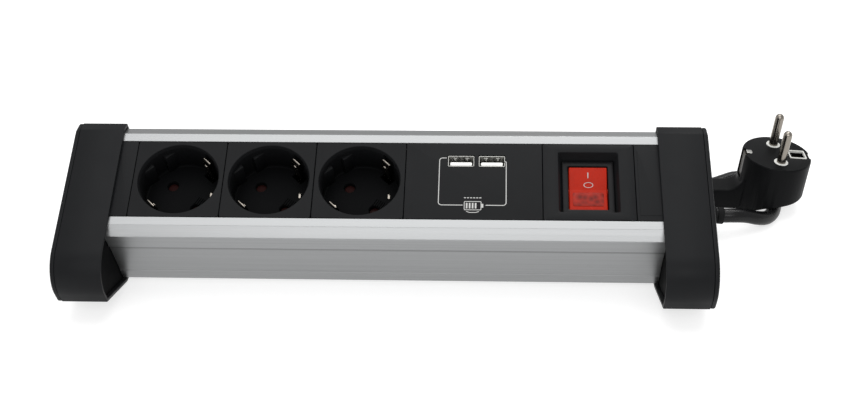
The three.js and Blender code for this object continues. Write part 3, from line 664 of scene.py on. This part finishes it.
def trunking_section():
    """The channel's section as (y, z, corner radius), from the lower lip round to the upper one."""
    outer = [(0, -0.15, 0.25), (0, 0, 0.25), (-4.65, 0, 0.7), (-10, -3.1, 0.7), (-10, -12.7, 0.35),
             (-9.2, -13.3, 0.35), (-9.2, -36.5, 0.35), (-9.5, -37, 0.35), (-9.5, -44.1, 0.6),
             (-8.5, DEEP, 0.6)]
    inner = [(-8.2, DEEP + WALL, 0.4), (-8.2, -37.5, 0.3), (-7.4, -36.5, 0.3), (-7.4, -13.3, 0.3),
             (-8.2, -12.7, 0.3), (-8.2, -4.2, 0.4), (-5.2, -WALL, 0.4), (0, -WALL, 0.25)]
    flip = [(MODULE - y, z, r) for y, z, r in outer]
    flip_inner = [(MODULE - y, z, r) for y, z, r in inner]
    return outer[1:] + flip[:0:-1] + flip_inner[::-1] + inner


def trunking():
    start, end = BAND_LEFT - 1.7, BAND_RIGHT + 1.7
    body = loft("channel", prism(trunking_section(), start, end, 0.12, "x", 1), STRIP)
    ports = []
    for y, z in ((-4.6, -40.2), (49.6, -12)):
        rings = []
        for radius, x in ((1.7, start + 0.2), (3.7, start + 0.2), (3.7, end - 0.2), (1.7, end - 0.2)):
            rings.append([(x, y + a, z + b) for a, b, _ in circle(radius, 40)])
        ports.append(loft("port", rings, STRIP, closed=True))
    return use(join("channel_profile", [body, *ports]), "trunking_profile", "aluminium")


# ---- end caps --------------------------------------------
CAP_WALL = 1.7
COVER = 2.4
CAP_CORNERS = [(50.5, 2, 2.2), (-36.5, 2, 16.5), (-36.5, -20.9, 1.5), (-10, -47.4, 4),
               (57.2, -47.4 - 67.2 * math.tan(SLOPE), 16.5), (57.2, 2 - 6.7 * math.tan(SLOPE), 2.2)]


def cap_rings(steps, edge_x, side):
    """Rings of the cap's outline at (amount moved inwards, distance out from the inner edge)."""
    return [[(edge_x + side * d, y, z) for y, z in outline(CAP_CORNERS, i + 0.05, 16)] for i, d in steps]


def end_cap(name, side, edge_x):
    """The hollow shell, and the web that closes it inside, coloured near-black as painted shade."""
    lip = 0.35
    end = CAP_WIDTH - COVER - 0.25
    steps = [(CAP_WALL, lip), (CAP_WALL - lip * 0.5, 0.05), (lip, 0), (0.1, 0.1), (0, lip)]
    steps += [(0, end - 0.25), (0.08, end - 0.08), (0.25, end), (CAP_WALL, end)]
    shell = loft(f"{name}_shell", cap_rings(steps, edge_x, side), STRIP, closed=True)
    # the web takes the near-black painted shade of the cap's hollow
    web_steps = [(CAP_WALL - 0.1, 2.0), (CAP_WALL - 0.1, 4.5)]
    web = loft(f"{name}_web", cap_rings(web_steps, edge_x, side), STRIP)
    use(web, None, "black_painted_shade")
    return use(shell, name, "black")


def cap_cover(name, side, edge_x):
    """The outer plate with its locating rim."""
    start, end = CAP_WIDTH - COVER, CAP_WIDTH
    rim_back = start - 2.9
    steps = [(CAP_WALL + 1.5, start), (CAP_WALL + 1.5, rim_back), (CAP_WALL + 0.3, rim_back),
             (CAP_WALL + 0.3, start), (0.45, start), (0.3, start + 0.15), (0.3, end - 1.1),
             (0.42, end - 0.75), (0.75, end - 0.4), (1.15, end - 0.12), (1.6, end)]
    return use(loft(f"{name}_plate", cap_rings(steps, edge_x, side), STRIP), name, "black")


def caps():
    for name, side, edge_x in (("left", -1, BAND_LEFT), ("right", 1, BAND_RIGHT)):
        end_cap(f"end_cap_{name}", side, edge_x)
        cap_cover(f"cap_cover_{name}", side, edge_x)
        for spot in ("front", "rear"):
            foot(f"foot_{name}_{spot}")


def foot(node):
    low, high = [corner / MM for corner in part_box(node)]
    shape = rectangle(low.x, high.x, low.y, high.y, 1.5)
    return use(loft(f"{node}_pad", prism(shape, low.z, high.z, 0.3)), node, "rubber")


# ---- modules ---------------------------------------------
JOINT = 0.15  # half the gap between two modules
MARGIN = 0.25  # gap between a module and the lips


def plate_outline(x0, x1, radius=0.35):
    return rectangle(x0 + JOINT, x1 - JOINT, MARGIN, MODULE - MARGIN, radius)


def ledges(x0, x1):
    return [block("ledge", x0 + JOINT + 0.1, x1 - JOINT - 0.1, y0, y1, -4, -2.2, edge=0.1)
            for y0, y1 in ((-2, 1.5), (MODULE - 1.5, MODULE + 2))]


def blank(name, x0, x1, panel):
    """A filler strip; the right one has a shallow raised panel."""
    parts = [loft("plate", prism(plate_outline(x0, x1), -4, -0.05, 0.22), STRIP), *ledges(x0, x1)]
    if panel:
        low, high = panel
        parts.append(block("panel", low, high, 3.2, MODULE - 3.4, -0.4, 0.12, edge=0.1, radius=0.5))
    return use(join(f"{name}_strip", parts), name, "black_fine")


def square_to(count, half_x, half_y, z):
    """A rectangle with points at even angles, to skin against circles of the same count."""
    ring = []
    for i in range(count):
        turn = 2 * math.pi * i / count
        c, s = math.cos(turn), math.sin(turn)
        reach = min(half_x / max(abs(c), 1e-9), half_y / max(abs(s), 1e-9))
        x, y = reach * c, reach * s
        ring.append((max(-half_x, min(half_x, x)), max(-half_y, min(half_y, y)), z))
    return ring


CUP_RADIUS = 21.4
SOCKET_TURN = 45
SOCKET_SMOOTH = 14


def socket_skin(count=128):
    """The plate, its round recess and the cup behind it, as one skin about the socket's axis."""
    half_x, half_y = PITCH / 2 - JOINT, HALF - MARGIN
    rings = [circle(CUP_RADIUS, count, FLOOR - 2.5), circle(CUP_RADIUS, count, -2.6)]
    for inset, z in ((0, -2.6), (0, -0.3), (0.1, -0.1), (0.25, -0.02)):
        rings.append(square_to(count, half_x - inset, half_y - inset, z))
    for radius, z in ((20.6, -0.02), (20.42, -0.08), (20.28, -0.22), (20.2, -0.5), (RECESS + 0.1, -1.6),
                      (RECESS, -1.9), (RECESS, FLOOR + 0.9), (RECESS - 0.3, FLOOR + 0.25),
                      (RECESS - 0.9, FLOOR)):
        rings.append(circle(radius, count, z))
    return loft("skin", rings, smooth=SOCKET_SMOOTH)


def turned_block(angle, x0, x1, y0, y1, z0, z1, edge=0.2, radius=0.3):
    return block("turned", x0, x1, y0, y1, z0, z1, spun(angle), edge, radius)


def socket_mesh():
    """A socket about its own axis: recess, guide ribs, pin holes, earth slots and floor marks."""
    body = socket_skin()
    for angle in (SOCKET_TURN + 90, SOCKET_TURN + 270):
        hole = turned("hole", [(2.75, FLOOR - 4), (2.75, FLOOR - 0.5), (3.2, FLOOR + 0.05), (3.2, FLOOR + 1)],
                      spun(angle) @ Matrix.Translation((PIN_OFFSET, 0, 0)), 40)
        boolean(body, hole, smooth=SOCKET_SMOOTH)
    for angle in (SOCKET_TURN, SOCKET_TURN + 180):
        slot = turned_block(angle, 15.4, 20.6, -3.5, 3.5, FLOOR - 4, -1.6, 0.05)
        boolean(body, slot, smooth=SOCKET_SMOOTH)
    ribs = []
    for angle in (132.5, 312.5):
        for low, high in ((-10.2, -3.4), (3.4, 10.2)):
            ribs.append(turned_block(angle, 17.3, 20.4, low, high, FLOOR - 0.5, -5, 0.35, 0.35))
    marks = []
    for k in range(5):
        low = -11.4 + 1.15 * k
        marks.append(turned_block(60, -0.6, 4.0, low, low + 0.5, FLOOR - 0.2, FLOOR + 0.5, 0.1, 0.2))
    skirt = []
    for x, y, half_x, half_y in ((0, 19.7, 20.5, 0.8), (0, -19.7, 20.5, 0.8),
                                 (19.7, 0, 0.8, 20.5), (-19.7, 0, 0.8, 20.5)):
        skirt.append(block("skirt", x - half_x, x + half_x, y - half_y, y + half_y, -30, -18.5, UNMOVED, 0.1))
    boss = turned("boss", [(1.3, FLOOR - 4.8), (1.5, FLOOR - 4.6), (1.5, FLOOR - 2)], UNMOVED, 32)
    return join("socket", [body, *ribs, *marks, *skirt, boss])


def clip_mesh():
    """The earth clip: two sprung arms with rolled-over tops and the bridge between them."""
    arm = [(17.7, -24.3, 0.6), (17.7, -15, 2), (17.1, -6.9, 2), (18.5, -3.2, 0.5), (17.6, -2.6, 0.5),
           (16.2, -6.6, 2.4), (16.9, -15, 2), (16.9, -23.5, 0.4)]
    mirror = [(-a, b, r) for a, b, r in arm[::-1]]
    spin = spun(SOCKET_TURN)
    strip = loft("clip", prism(arm + mirror, -2.5, 2.5, 0.12, "y", 2, 4), spin)
    ribs = []
    for low, high in both_sides(16.0, 17.2):
        ribs.append(block("dimple", low, high, -1.0, 1.0, -9.4, -5.6, spin, 0.5, 0.55))
    leg = block("leg", -2, 2, -2.6, 2.6, -32, -24, spin, 0.1)
    tab = block("tab", 12.9, 14.3, -0.2, 2.8, FLOOR - 0.1, FLOOR + 0.6, UNMOVED, 0.25, 0.4)
    return join("clip", [strip, *ribs, leg, tab])


def shutter_mesh():
    """Two blades over the pin holes, on a hub."""
    spin = spun(SOCKET_TURN + 90)
    back, front = -21.8, -20.3
    blades = block("blades", -13.2, 13.2, -3.5, 3.5, back, front, spin, 0.2, 3.0)
    hub = turned("hub", [(1.8, back), (4.3, back), (4.4, back + 0.1), (4.4, front - 0.1), (4.3, front),
                         (1.8, front)], spin, 40)
    return join("shutter", [blades, hub])


def placed_copies(source, name, node, look, body=None):
    """Copies of a piece at the three sockets, each for a CAD node of its own."""
    for k in (1, 2, 3):
        obj = shown(f"{name}_{k}", source.data.copy())
        obj.data.transform(Matrix.Scale(1 / MM, 4))
        place = Matrix.Translation((PITCH * (k - 0.5), HALF, 0))
        obj.data.transform(Matrix.Scale(MM, 4) @ STRIP @ place)
        use(obj, f"{node}_{k}", look, f"{body}_{k}" if body else "root")
    bpy.data.objects.remove(source)


def sockets():
    placed_copies(socket_mesh(), "socket", "socket_insert", "black_socket")
    placed_copies(clip_mesh(), "earth_spring", "earth_clip", "nickel")
    placed_copies(shutter_mesh(), "shutter", "socket_shutter", "shutter", "shutter")
    for k in (1, 2, 3):
        use(join(f"socket_ledges_{k}", ledges(PITCH * (k - 1), PITCH * k)), None, "black_fine")


# ---- USB charger -----------------------------------------
PORTS = (163.4, 178.7)
PORT_Y = 34.4
USB_FACE = -0.02


def usb_plate():
    """The charger's face with its two openings, and the walls behind it."""
    plate = loft("plate", prism(plate_outline(USB_START, SWITCH_START), -2.6, USB_FACE, 0.22), STRIP)
    for x in PORTS:
        mouth = rectangle(x - 6.7, x + 6.7, PORT_Y - 3.35, PORT_Y + 3.35, 0.7)
        boolean(plate, loft("mouth", stacked(mouth, [(0, -5), (0, -0.5), (-0.3, 0.6)]), STRIP))
    walls = []
    left, right, low, high, thick = USB_START + 2, SWITCH_START - 2, 2, 43, 1.4
    for x0, x1, y0, y1 in ((left, right, low, low + thick), (left, right, high - thick, high),
                           (left, left + thick, low, high), (right - thick, right, low, high)):
        walls.append(block("wall", x0, x1, y0, y1, -15.5, -2, edge=0.1))
    return use(join("charger_face", [plate, *walls, *ledges(USB_START, SWITCH_START)]), "usb_plate",
               "black_fine")


def line_strip(points, width, z, thick=0.05):
    """A printed line of even width along (x, y) points."""
    left, right = [], []
    for i, point in enumerate(points):
        here = Vector(point)
        before = (here - Vector(points[max(0, i - 1)])).normalized()
        after = (Vector(points[min(len(points) - 1, i + 1)]) - here).normalized()
        along = (before + after).normalized()
        side = Vector((-along.y, along.x)) * width / 2
        left.append(here + side)
        right.append(here - side)
    border = [(p.x, p.y) for p in left + right[::-1]]
    total = len(border)
    verts = [(a, b, z - thick) for a, b in border] + [(a, b, z + thick) for a, b in border]
    faces = [(i, (i + 1) % total, total + (i + 1) % total, total + i) for i in range(total)]
    for i in range(len(points) - 1):
        a, b, c, d = i, i + 1, total - 2 - i, total - 1 - i
        faces.append((a, d, c, b))
        faces.append((total + a, total + b, total + c, total + d))
    return mesh_object("line", verts, faces, STRIP)


def usb_print():
    """Bracket lines from the ports down to a small battery picture, and a row of dashes."""
    left, right, low, top = 152.7, 185.8, 8.3, 36.0
    z = USB_FACE + 0.02
    bend = 1.6
    width, thin = 0.42, 0.35

    def ink(x0, x1, y0, y1, radius):
        return block("ink", x0, x1, y0, y1, z - 0.05, z + 0.05, edge=0.02, radius=radius)

    parts = [
        line_strip([(156.2, top)] + arc_points(left + bend, top - bend, bend, 90, 180)
                   + arc_points(left + bend, low + bend, bend, 180, 270) + [(164.6, low)], width, z),
        line_strip([(185.2, 34.2)] + arc_points(right - 0.9, 33.3, 0.9, 90, 0)
                   + arc_points(right - bend, low + bend, bend, 0, -90) + [(175.8, low)], width, z),
    ]
    case = outline(rectangle(165.4, 173.6, 5.6, 10.4, 0.5))
    parts.append(line_strip(case + case[:1], thin, z))
    parts.append(ink(173.8, 174.7, 6.9, 9.1, 0.2))
    parts += [ink(166.2 + 1.45 * k, 167.0 + 1.45 * k, 6.4, 9.6, 0.15) for k in range(4)]
    parts.append(line_strip([(166.4, 4.7), (168, 4.1), (171, 4.1), (172.6, 4.7)], thin, z))
    parts += [ink(165.2 + 1.5 * k, 166.2 + 1.5 * k, 12.3, 12.8, 0.1) for k in range(6)]
    return use(join("charger_print", parts), None, "print")


def usb_ports():
    """Each port: a shell with two springs, a plastic tongue and its four contacts."""
    for k, x in enumerate(PORTS, 1):
        border = rectangle(x - 6.55, x + 6.55, PORT_Y - 3.2, PORT_Y + 3.2, 0.6)
        steps = [(0, -15.5), (0, -0.6), (0.12, -0.4), (0.3, -0.4), (0.4, -0.6), (0.4, -13)]
        shell = loft("shell", stacked(border, steps), STRIP)
        springs = []
        for at in (x - 3, x + 3):
            for half, low, high, back, front in ((1, 2.3, 2.75, -7, -1.4), (0.5, 1.9, 2.5, -5, -2.2)):
                springs.append(block("spring", at - half, at + half, PORT_Y + low, PORT_Y + high, back, front,
                                     edge=0.1, radius=0.2))
        use(join(f"port_shell_{k}", [shell, *springs]), f"usb_shell_{k}", "port")
        tongue = block(f"port_tongue_{k}", x - 5.4, x + 5.4, PORT_Y - 2.2, PORT_Y - 0.3, -12.7, -0.9,
                       edge=0.2)
        use(tongue, f"usb_tongue_{k}", "tongue")
        pins = [block("pin", left, left + 1, PORT_Y - 0.4, PORT_Y - 0.1, -11, -1.1, edge=0.05, radius=0.1)
                for left in (x - 3.9, x - 1.6, x + 0.7, x + 3.0)]
        # the contacts take the nickel darkened with painted shade
        use(join(f"port_pins_{k}", pins), None, "nickel_with_painted_shade")


# ---- switch ----------------------------------------------
pivot = STRIP.inverted() @ (Vector(joints["rocker_tilt"]["pos_m"]) / MM)
SWITCH_X, SWITCH_Y = pivot.xy
BEZEL_TOP = -4.9
ROCKER_REST = 6.0


def centred(half_x, half_y, radius=0.6, shift=0.0):
    """Corners of a rectangle about the switch's middle."""
    y = SWITCH_Y + shift
    return rectangle(SWITCH_X - half_x, SWITCH_X + half_x, y - half_y, y + half_y, radius)


def switch_plate():
    """A plate with a tapered recess down to the switch."""
    hole = centred(11.5, 14.6)
    outer = plate_outline(SWITCH_START, BLANK_START, 0.6)
    rings = stacked(hole, [(0, -8)]) + stacked(outer, [(0, -8), (0, -0.3), (0.1, -0.1), (0.25, -0.02)])
    for half_x, half_y, corner, z in ((15.15, 17.85, 1.0, -0.02), (14.9, 17.6, 1.0, -0.12),
                                      (14.7, 17.45, 1.0, -0.4), (13.15, 16.3, 0.9, -6.3),
                                      (12.9, 16.0, 0.9, -6.6)):
        rings += stacked(centred(half_x, half_y, corner, 0.3), [(0, z)])
    plate = loft("plate", rings + stacked(hole, [(0, -6.6)]), STRIP, closed=True)
    return use(join("switch_face", [plate, *ledges(SWITCH_START, BLANK_START)]), "switch_plate", "black_fine")


def switch_body():
    """The bezel and the open housing behind it."""
    top = BEZEL_TOP
    rings = stacked(centred(11.2, 14.3, 0.8), [(0, -26), (0, -6.3)])
    rings += stacked(centred(12.8, 15.7, 0.8), [(0, -6.3), (0, top - 0.35), (0.12, top - 0.12), (0.35, top)])
    rings += stacked(centred(9.8, 12.65, 0.4), [(-0.5, top), (-0.15, top - 0.15), (0, top - 0.5), (0, -23)])
    return use(loft("switch_housing", rings, STRIP), "switch_body", "dark")


def rocker():
    """The rocker drawn level about its pivot and then tipped to its rest."""
    end = 12.4
    valley = 2.35
    arc = [(a, b, 0) for a, b in arc_points(0, 0, end, -15, 18, 11)]
    crown = [(*arc[-1][:2], 0.5)]
    side = arc[:-1] + crown
    section = [(-6, -5.5, 1), (6, -5.5, 1), *side, (0, valley, 1.2), *[(-a, b, r) for a, b, r in side[::-1]]]
    place = STRIP @ Matrix.Translation(pivot) @ spun(ROCKER_REST, "X")
    lever = loft("lever", prism(section, -9.4, 9.4, 0.5, "x"), place)
    pins = []
    for side_x in (-1, 1):
        turn = place @ spun(90 * side_x, "Y")
        pins.append(turned("trunnion", [(1.5, 9), (1.5, 10.4), (1.3, 10.6)], turn, 32))
    use(join("rocker_lever", [lever, *pins]), "switch_rocker", "rocker", "rocker")
    slope = math.degrees(math.atan2(4.0 - valley, 11.74))
    lens(place, slope, valley)
    marks(place, slope, valley)


def half_face(place, slope, valley, side):
    """A frame on the rocker's sloping top: x across, y outwards from the valley, z out of the face."""
    return place @ Matrix.Translation((0, 0, valley)) @ spun(side * slope, "X")


def lens(place, slope, valley):
    """The ribbed lamp window in the lower half."""
    face = half_face(place, slope, valley, -1)
    window = loft("lamp_window", prism(rectangle(-7.6, 7.6, -9.6, -1.6, 0.8), -0.4, 0.1, 0.1), face)
    use(window, None, "lens", "rocker")


def marks(place, slope, valley):
    """The usual on and off signs: a bar and a ring."""
    face = half_face(place, slope, valley, 1)
    bar = block("bar", -0.22, 0.22, 6.2, 9.2, -0.05, 0.06, face, 0.03, 0.1)
    ring = []
    for radius, z in ((1.7, -0.05), (1.7, 0.06), (1.46, 0.06), (1.46, -0.05)):
        ring.append([(1.4 * x + 0.2, 0.85 * y + 2.6, z) for x, y, _ in circle(radius, 48)])
    off = loft("ring", ring, face, closed=True)
    use(join("switch_signs", [bar, off]), None, "print", "rocker")


# ---- plug ------------------------------------------------
PLUG_FACE = Vector((206.3, 68.2, 32.5))
PLUG_RADIUS = 18.5
PLUG = (Matrix.Translation(PLUG_FACE) @ spun(3.2)
        @ spun(5.7, "Y"))


def plug_body():
    """A round body with a sloping back and a boxy neck that flows into it."""
    back = [(19.5, 3, 0), (19.5, -20.6, 2.5), (12, -21.6, 8), (5, -22.4, 8), (-1, -23.5, 8),
            (-6, -25.2, 8), (-11, -28.4, 8), (-16, -32.2, 3), (-19.5, -33.3, 1), (-19.5, 3, 0)]
    body = turned("body", [(PLUG_RADIUS - 0.6, -38), (PLUG_RADIUS, -37), (PLUG_RADIUS, -1.1),
                           (PLUG_RADIUS - 0.1, -0.6), (PLUG_RADIUS - 0.45, -0.15), (PLUG_RADIUS - 1.1, 0)],
                  PLUG, 96)
    boolean(body, loft("side_view", prism(back, -20, 20, 0.01, "y", 1), PLUG), "INTERSECT")
    boolean(body, neck(), "UNION")
    for low, high in both_sides(16.6, 19.4):
        boolean(body, block("groove", low, high, -3.4, 3.4, -14.8, 2, PLUG, 0.05, 0.3))
    boolean(body, block("pocket", 6.1, 15.9, -4.5, 4.5, -8, 2, PLUG, 0.05, 0.4))
    bevel = body.modifiers.new("edges", "BEVEL")
    bevel.width = 0.35 * MM
    bevel.segments = 2
    bevel.limit_method = "ANGLE"
    bevel.angle_limit = math.radians(35)
    apply_modifiers(body, 30)
    return use(join("plug_shell", [body]), "plug_body", "black_plug")


def neck():
    """The strain relief: a box that narrows to the cord and flares upwards where it meets the body."""
    x0, y0, z0 = NECK_END
    rings = []
    for distance, half_y, half_z, corner in ((0.2, 5.2, 5.0, 3.2), (0.6, 5.7, 5.5, 2.6), (2, 6.2, 5.9, 1.6),
                                             (12, 6.5, 6.0, 1.3), (22, 6.7, 6.1, 1.3), (25, 6.8, 6.6, 1.4),
                                             (27, 7.0, 7.4, 1.6), (28.5, 7.3, 8.6, 1.8), (30, 7.7, 10.4, 2.2),
                                             (32, 8.4, 12.2, 2.8), (36, 10.0, 13.0, 3.2)):
        lift = max(0.0, half_z - 6.2)
        shape = outline(rectangle(-half_y, half_y, -half_z, half_z, corner))
        rings.append([(x0 + distance, y0 + a, z0 + b + lift) for a, b in shape])
    return loft("neck", rings)


def plug_insert():
    """The light moulding: a collar round each pin and the frame of the earth opening."""
    parts = []
    for side in (-1, 1):
        at = PLUG @ Matrix.Translation((0, side * PIN_OFFSET, 0))
        parts.append(turned("collar", [(2.7, -3), (3.75, -3), (3.75, 0.2), (3.6, 0.38), (3.3, 0.42),
                                       (2.85, 0.42), (2.7, 0.3)], at, 48))
    frame_outline = rectangle(6.4, 15.6, -4.2, 4.2, 0.8)
    rim = [(0, -1), (0, 0.1), (0.15, 0.3), (0.6, 0.3), (0.75, 0.1), (0.75, -1)]
    parts.append(loft("frame", stacked(frame_outline, rim), PLUG, closed=True))
    # painted shade: a near-black sheet round the inside of the earth opening, where only shade falls
    walls = [(0, -7.8), (0, -1.02), (0.75, -1.02), (0.75, -7.8)]
    use(loft("earth_opening_shade", stacked(frame_outline, walls), PLUG, closed=True), None, "black_painted_shade")
    return use(join("plug_moulding", parts), "plug_insert", "white")


def plug_metal():
    radius, straight, tip = 2.4, 16.4, 2.6
    profile = [(radius, -8), (radius, straight)]
    for turn in map(math.radians, range(12, 90, 11)):
        profile.append((radius * math.cos(turn), straight + tip * math.sin(turn)))
    for k, side in ((1, -1), (2, 1)):
        pin = turned(f"pin_{k}", profile, PLUG @ Matrix.Translation((0, side * PIN_OFFSET, 0)), 48)
        use(pin, f"plug_pin_{k}", "nickel")
    parts = []
    for low, high in both_sides(16.95, 17.65):
        parts.append(block("strip", low, high, -3, 3, -14.5, -0.8, PLUG, 0.1, 0.15))
    parts.append(block("bar", -17.6, 17.6, -3, 3, -14.5, -13.5, PLUG, 0.1, 0.2))
    parts.append(block("sleeve", 8.2, 13.8, -2.5, 2.5, -7, -2.6, PLUG, 0.2, 0.6))
    use(block("face_tab", -16.8, -13.8, -1.9, 1.5, 0.02, 0.22, PLUG, 0.08, 0.4), None, "port")
    # the earth strips take the nickel darkened with painted shade
    return use(join("plug_earth_spring", parts), "plug_earth_contact", "nickel_with_painted_shade")


# ---- pieces that keep their CAD shape --------------------
def inner_pieces():
    kinds = {"screw": "steel", "rail": "brass", "contact_": "brass", "terminal": "brass",
             "usb_board": "board", "transformer": "white", "lamp": "white", "clamp": "dark",
             "live_wire": "live", "neutral_wire": "neutral", "earth_wire": "earth"}
    for node, obj in frame["nodes"].items():
        kind = next((material for key, material in kinds.items() if key in node), None)
        if kind and node != "plug_earth_contact":
            paint(obj, kind)


# ---- stage -----------------------------------------------
def stage():
    floor_finish = Finish("floor", (0.5, 0.5, 0.5), 0.7)
    slow = floor_finish.noise(160.0, 2.0)
    floor_finish.tint(slow, 0.995, 1.005).bump(floor_finish.noise(1.5, 2.0), 0.01, 0.1)
    floor_finish.set(Emission_Color=(1, 1, 1, 1), Emission_Strength=0.66, Specular_IOR_Level=0.1)
    size = 6000
    verts, faces = [(-size, -size, 0), (size, -size, 0), (size, size, 0), (-size, size, 0)], [(0, 1, 2, 3)]
    ground = mesh_object("floor", verts, faces)
    ground.data.materials.append(floor_finish.material)


def area_light(name, place, target, size, power, size_y=None):
    """A rectangular light. Its place, target and size are metres, and its power is watts."""
    data = bpy.data.lights.new(name, "AREA")
    data.shape = "RECTANGLE"
    data.size = size
    data.size_y = size_y or size
    data.energy = power
    light = shown(name, data)
    light.location = place
    light.rotation_euler = (Vector(target) - Vector(place)).to_track_quat("-Z", "Y").to_euler()


def lights():
    world = bpy.data.worlds.new("studio")
    world.use_nodes = True
    backdrop = world.node_tree.nodes["Background"].inputs
    backdrop["Color"].default_value = (1, 1, 1, 1)
    backdrop["Strength"].default_value = 0.72
    bpy.context.scene.world = world
    area_light("overhead", (-0.05, 0.16, 1.25), (-0.05, 0.16, 0), 1.2, 9.5)
    area_light("front", (0.05, -1.1, 0.85), (0, 0, 0.03), 1.2, 6.2, 0.6)
    area_light("edge", (0.35, 0.5, 0.7), (0.15, 0.05, 0.03), 0.5, 1.6, 0.06)


# ---- the scene -------------------------------------------
camera()
cord, cord_path, cord_length = supply_cord()
strap = cord_tie()
gland_piece = cable_gland()
trunking()
caps()
blank("blank_left", BAND_LEFT - 1.5, 0, None)
blank("blank_right", BLANK_START, BAND_RIGHT + 1.5, (BLANK_START + 1.6, BAND_RIGHT + 0.6))
sockets()
usb_plate()
usb_print()
usb_ports()
switch_plate()
switch_body()
rocker()
shell = plug_body()
moulding = plug_insert()
earth_spring = plug_metal()
inner_pieces()
stage()
lights()
bpy.context.scene.view_settings.view_transform = "Standard"
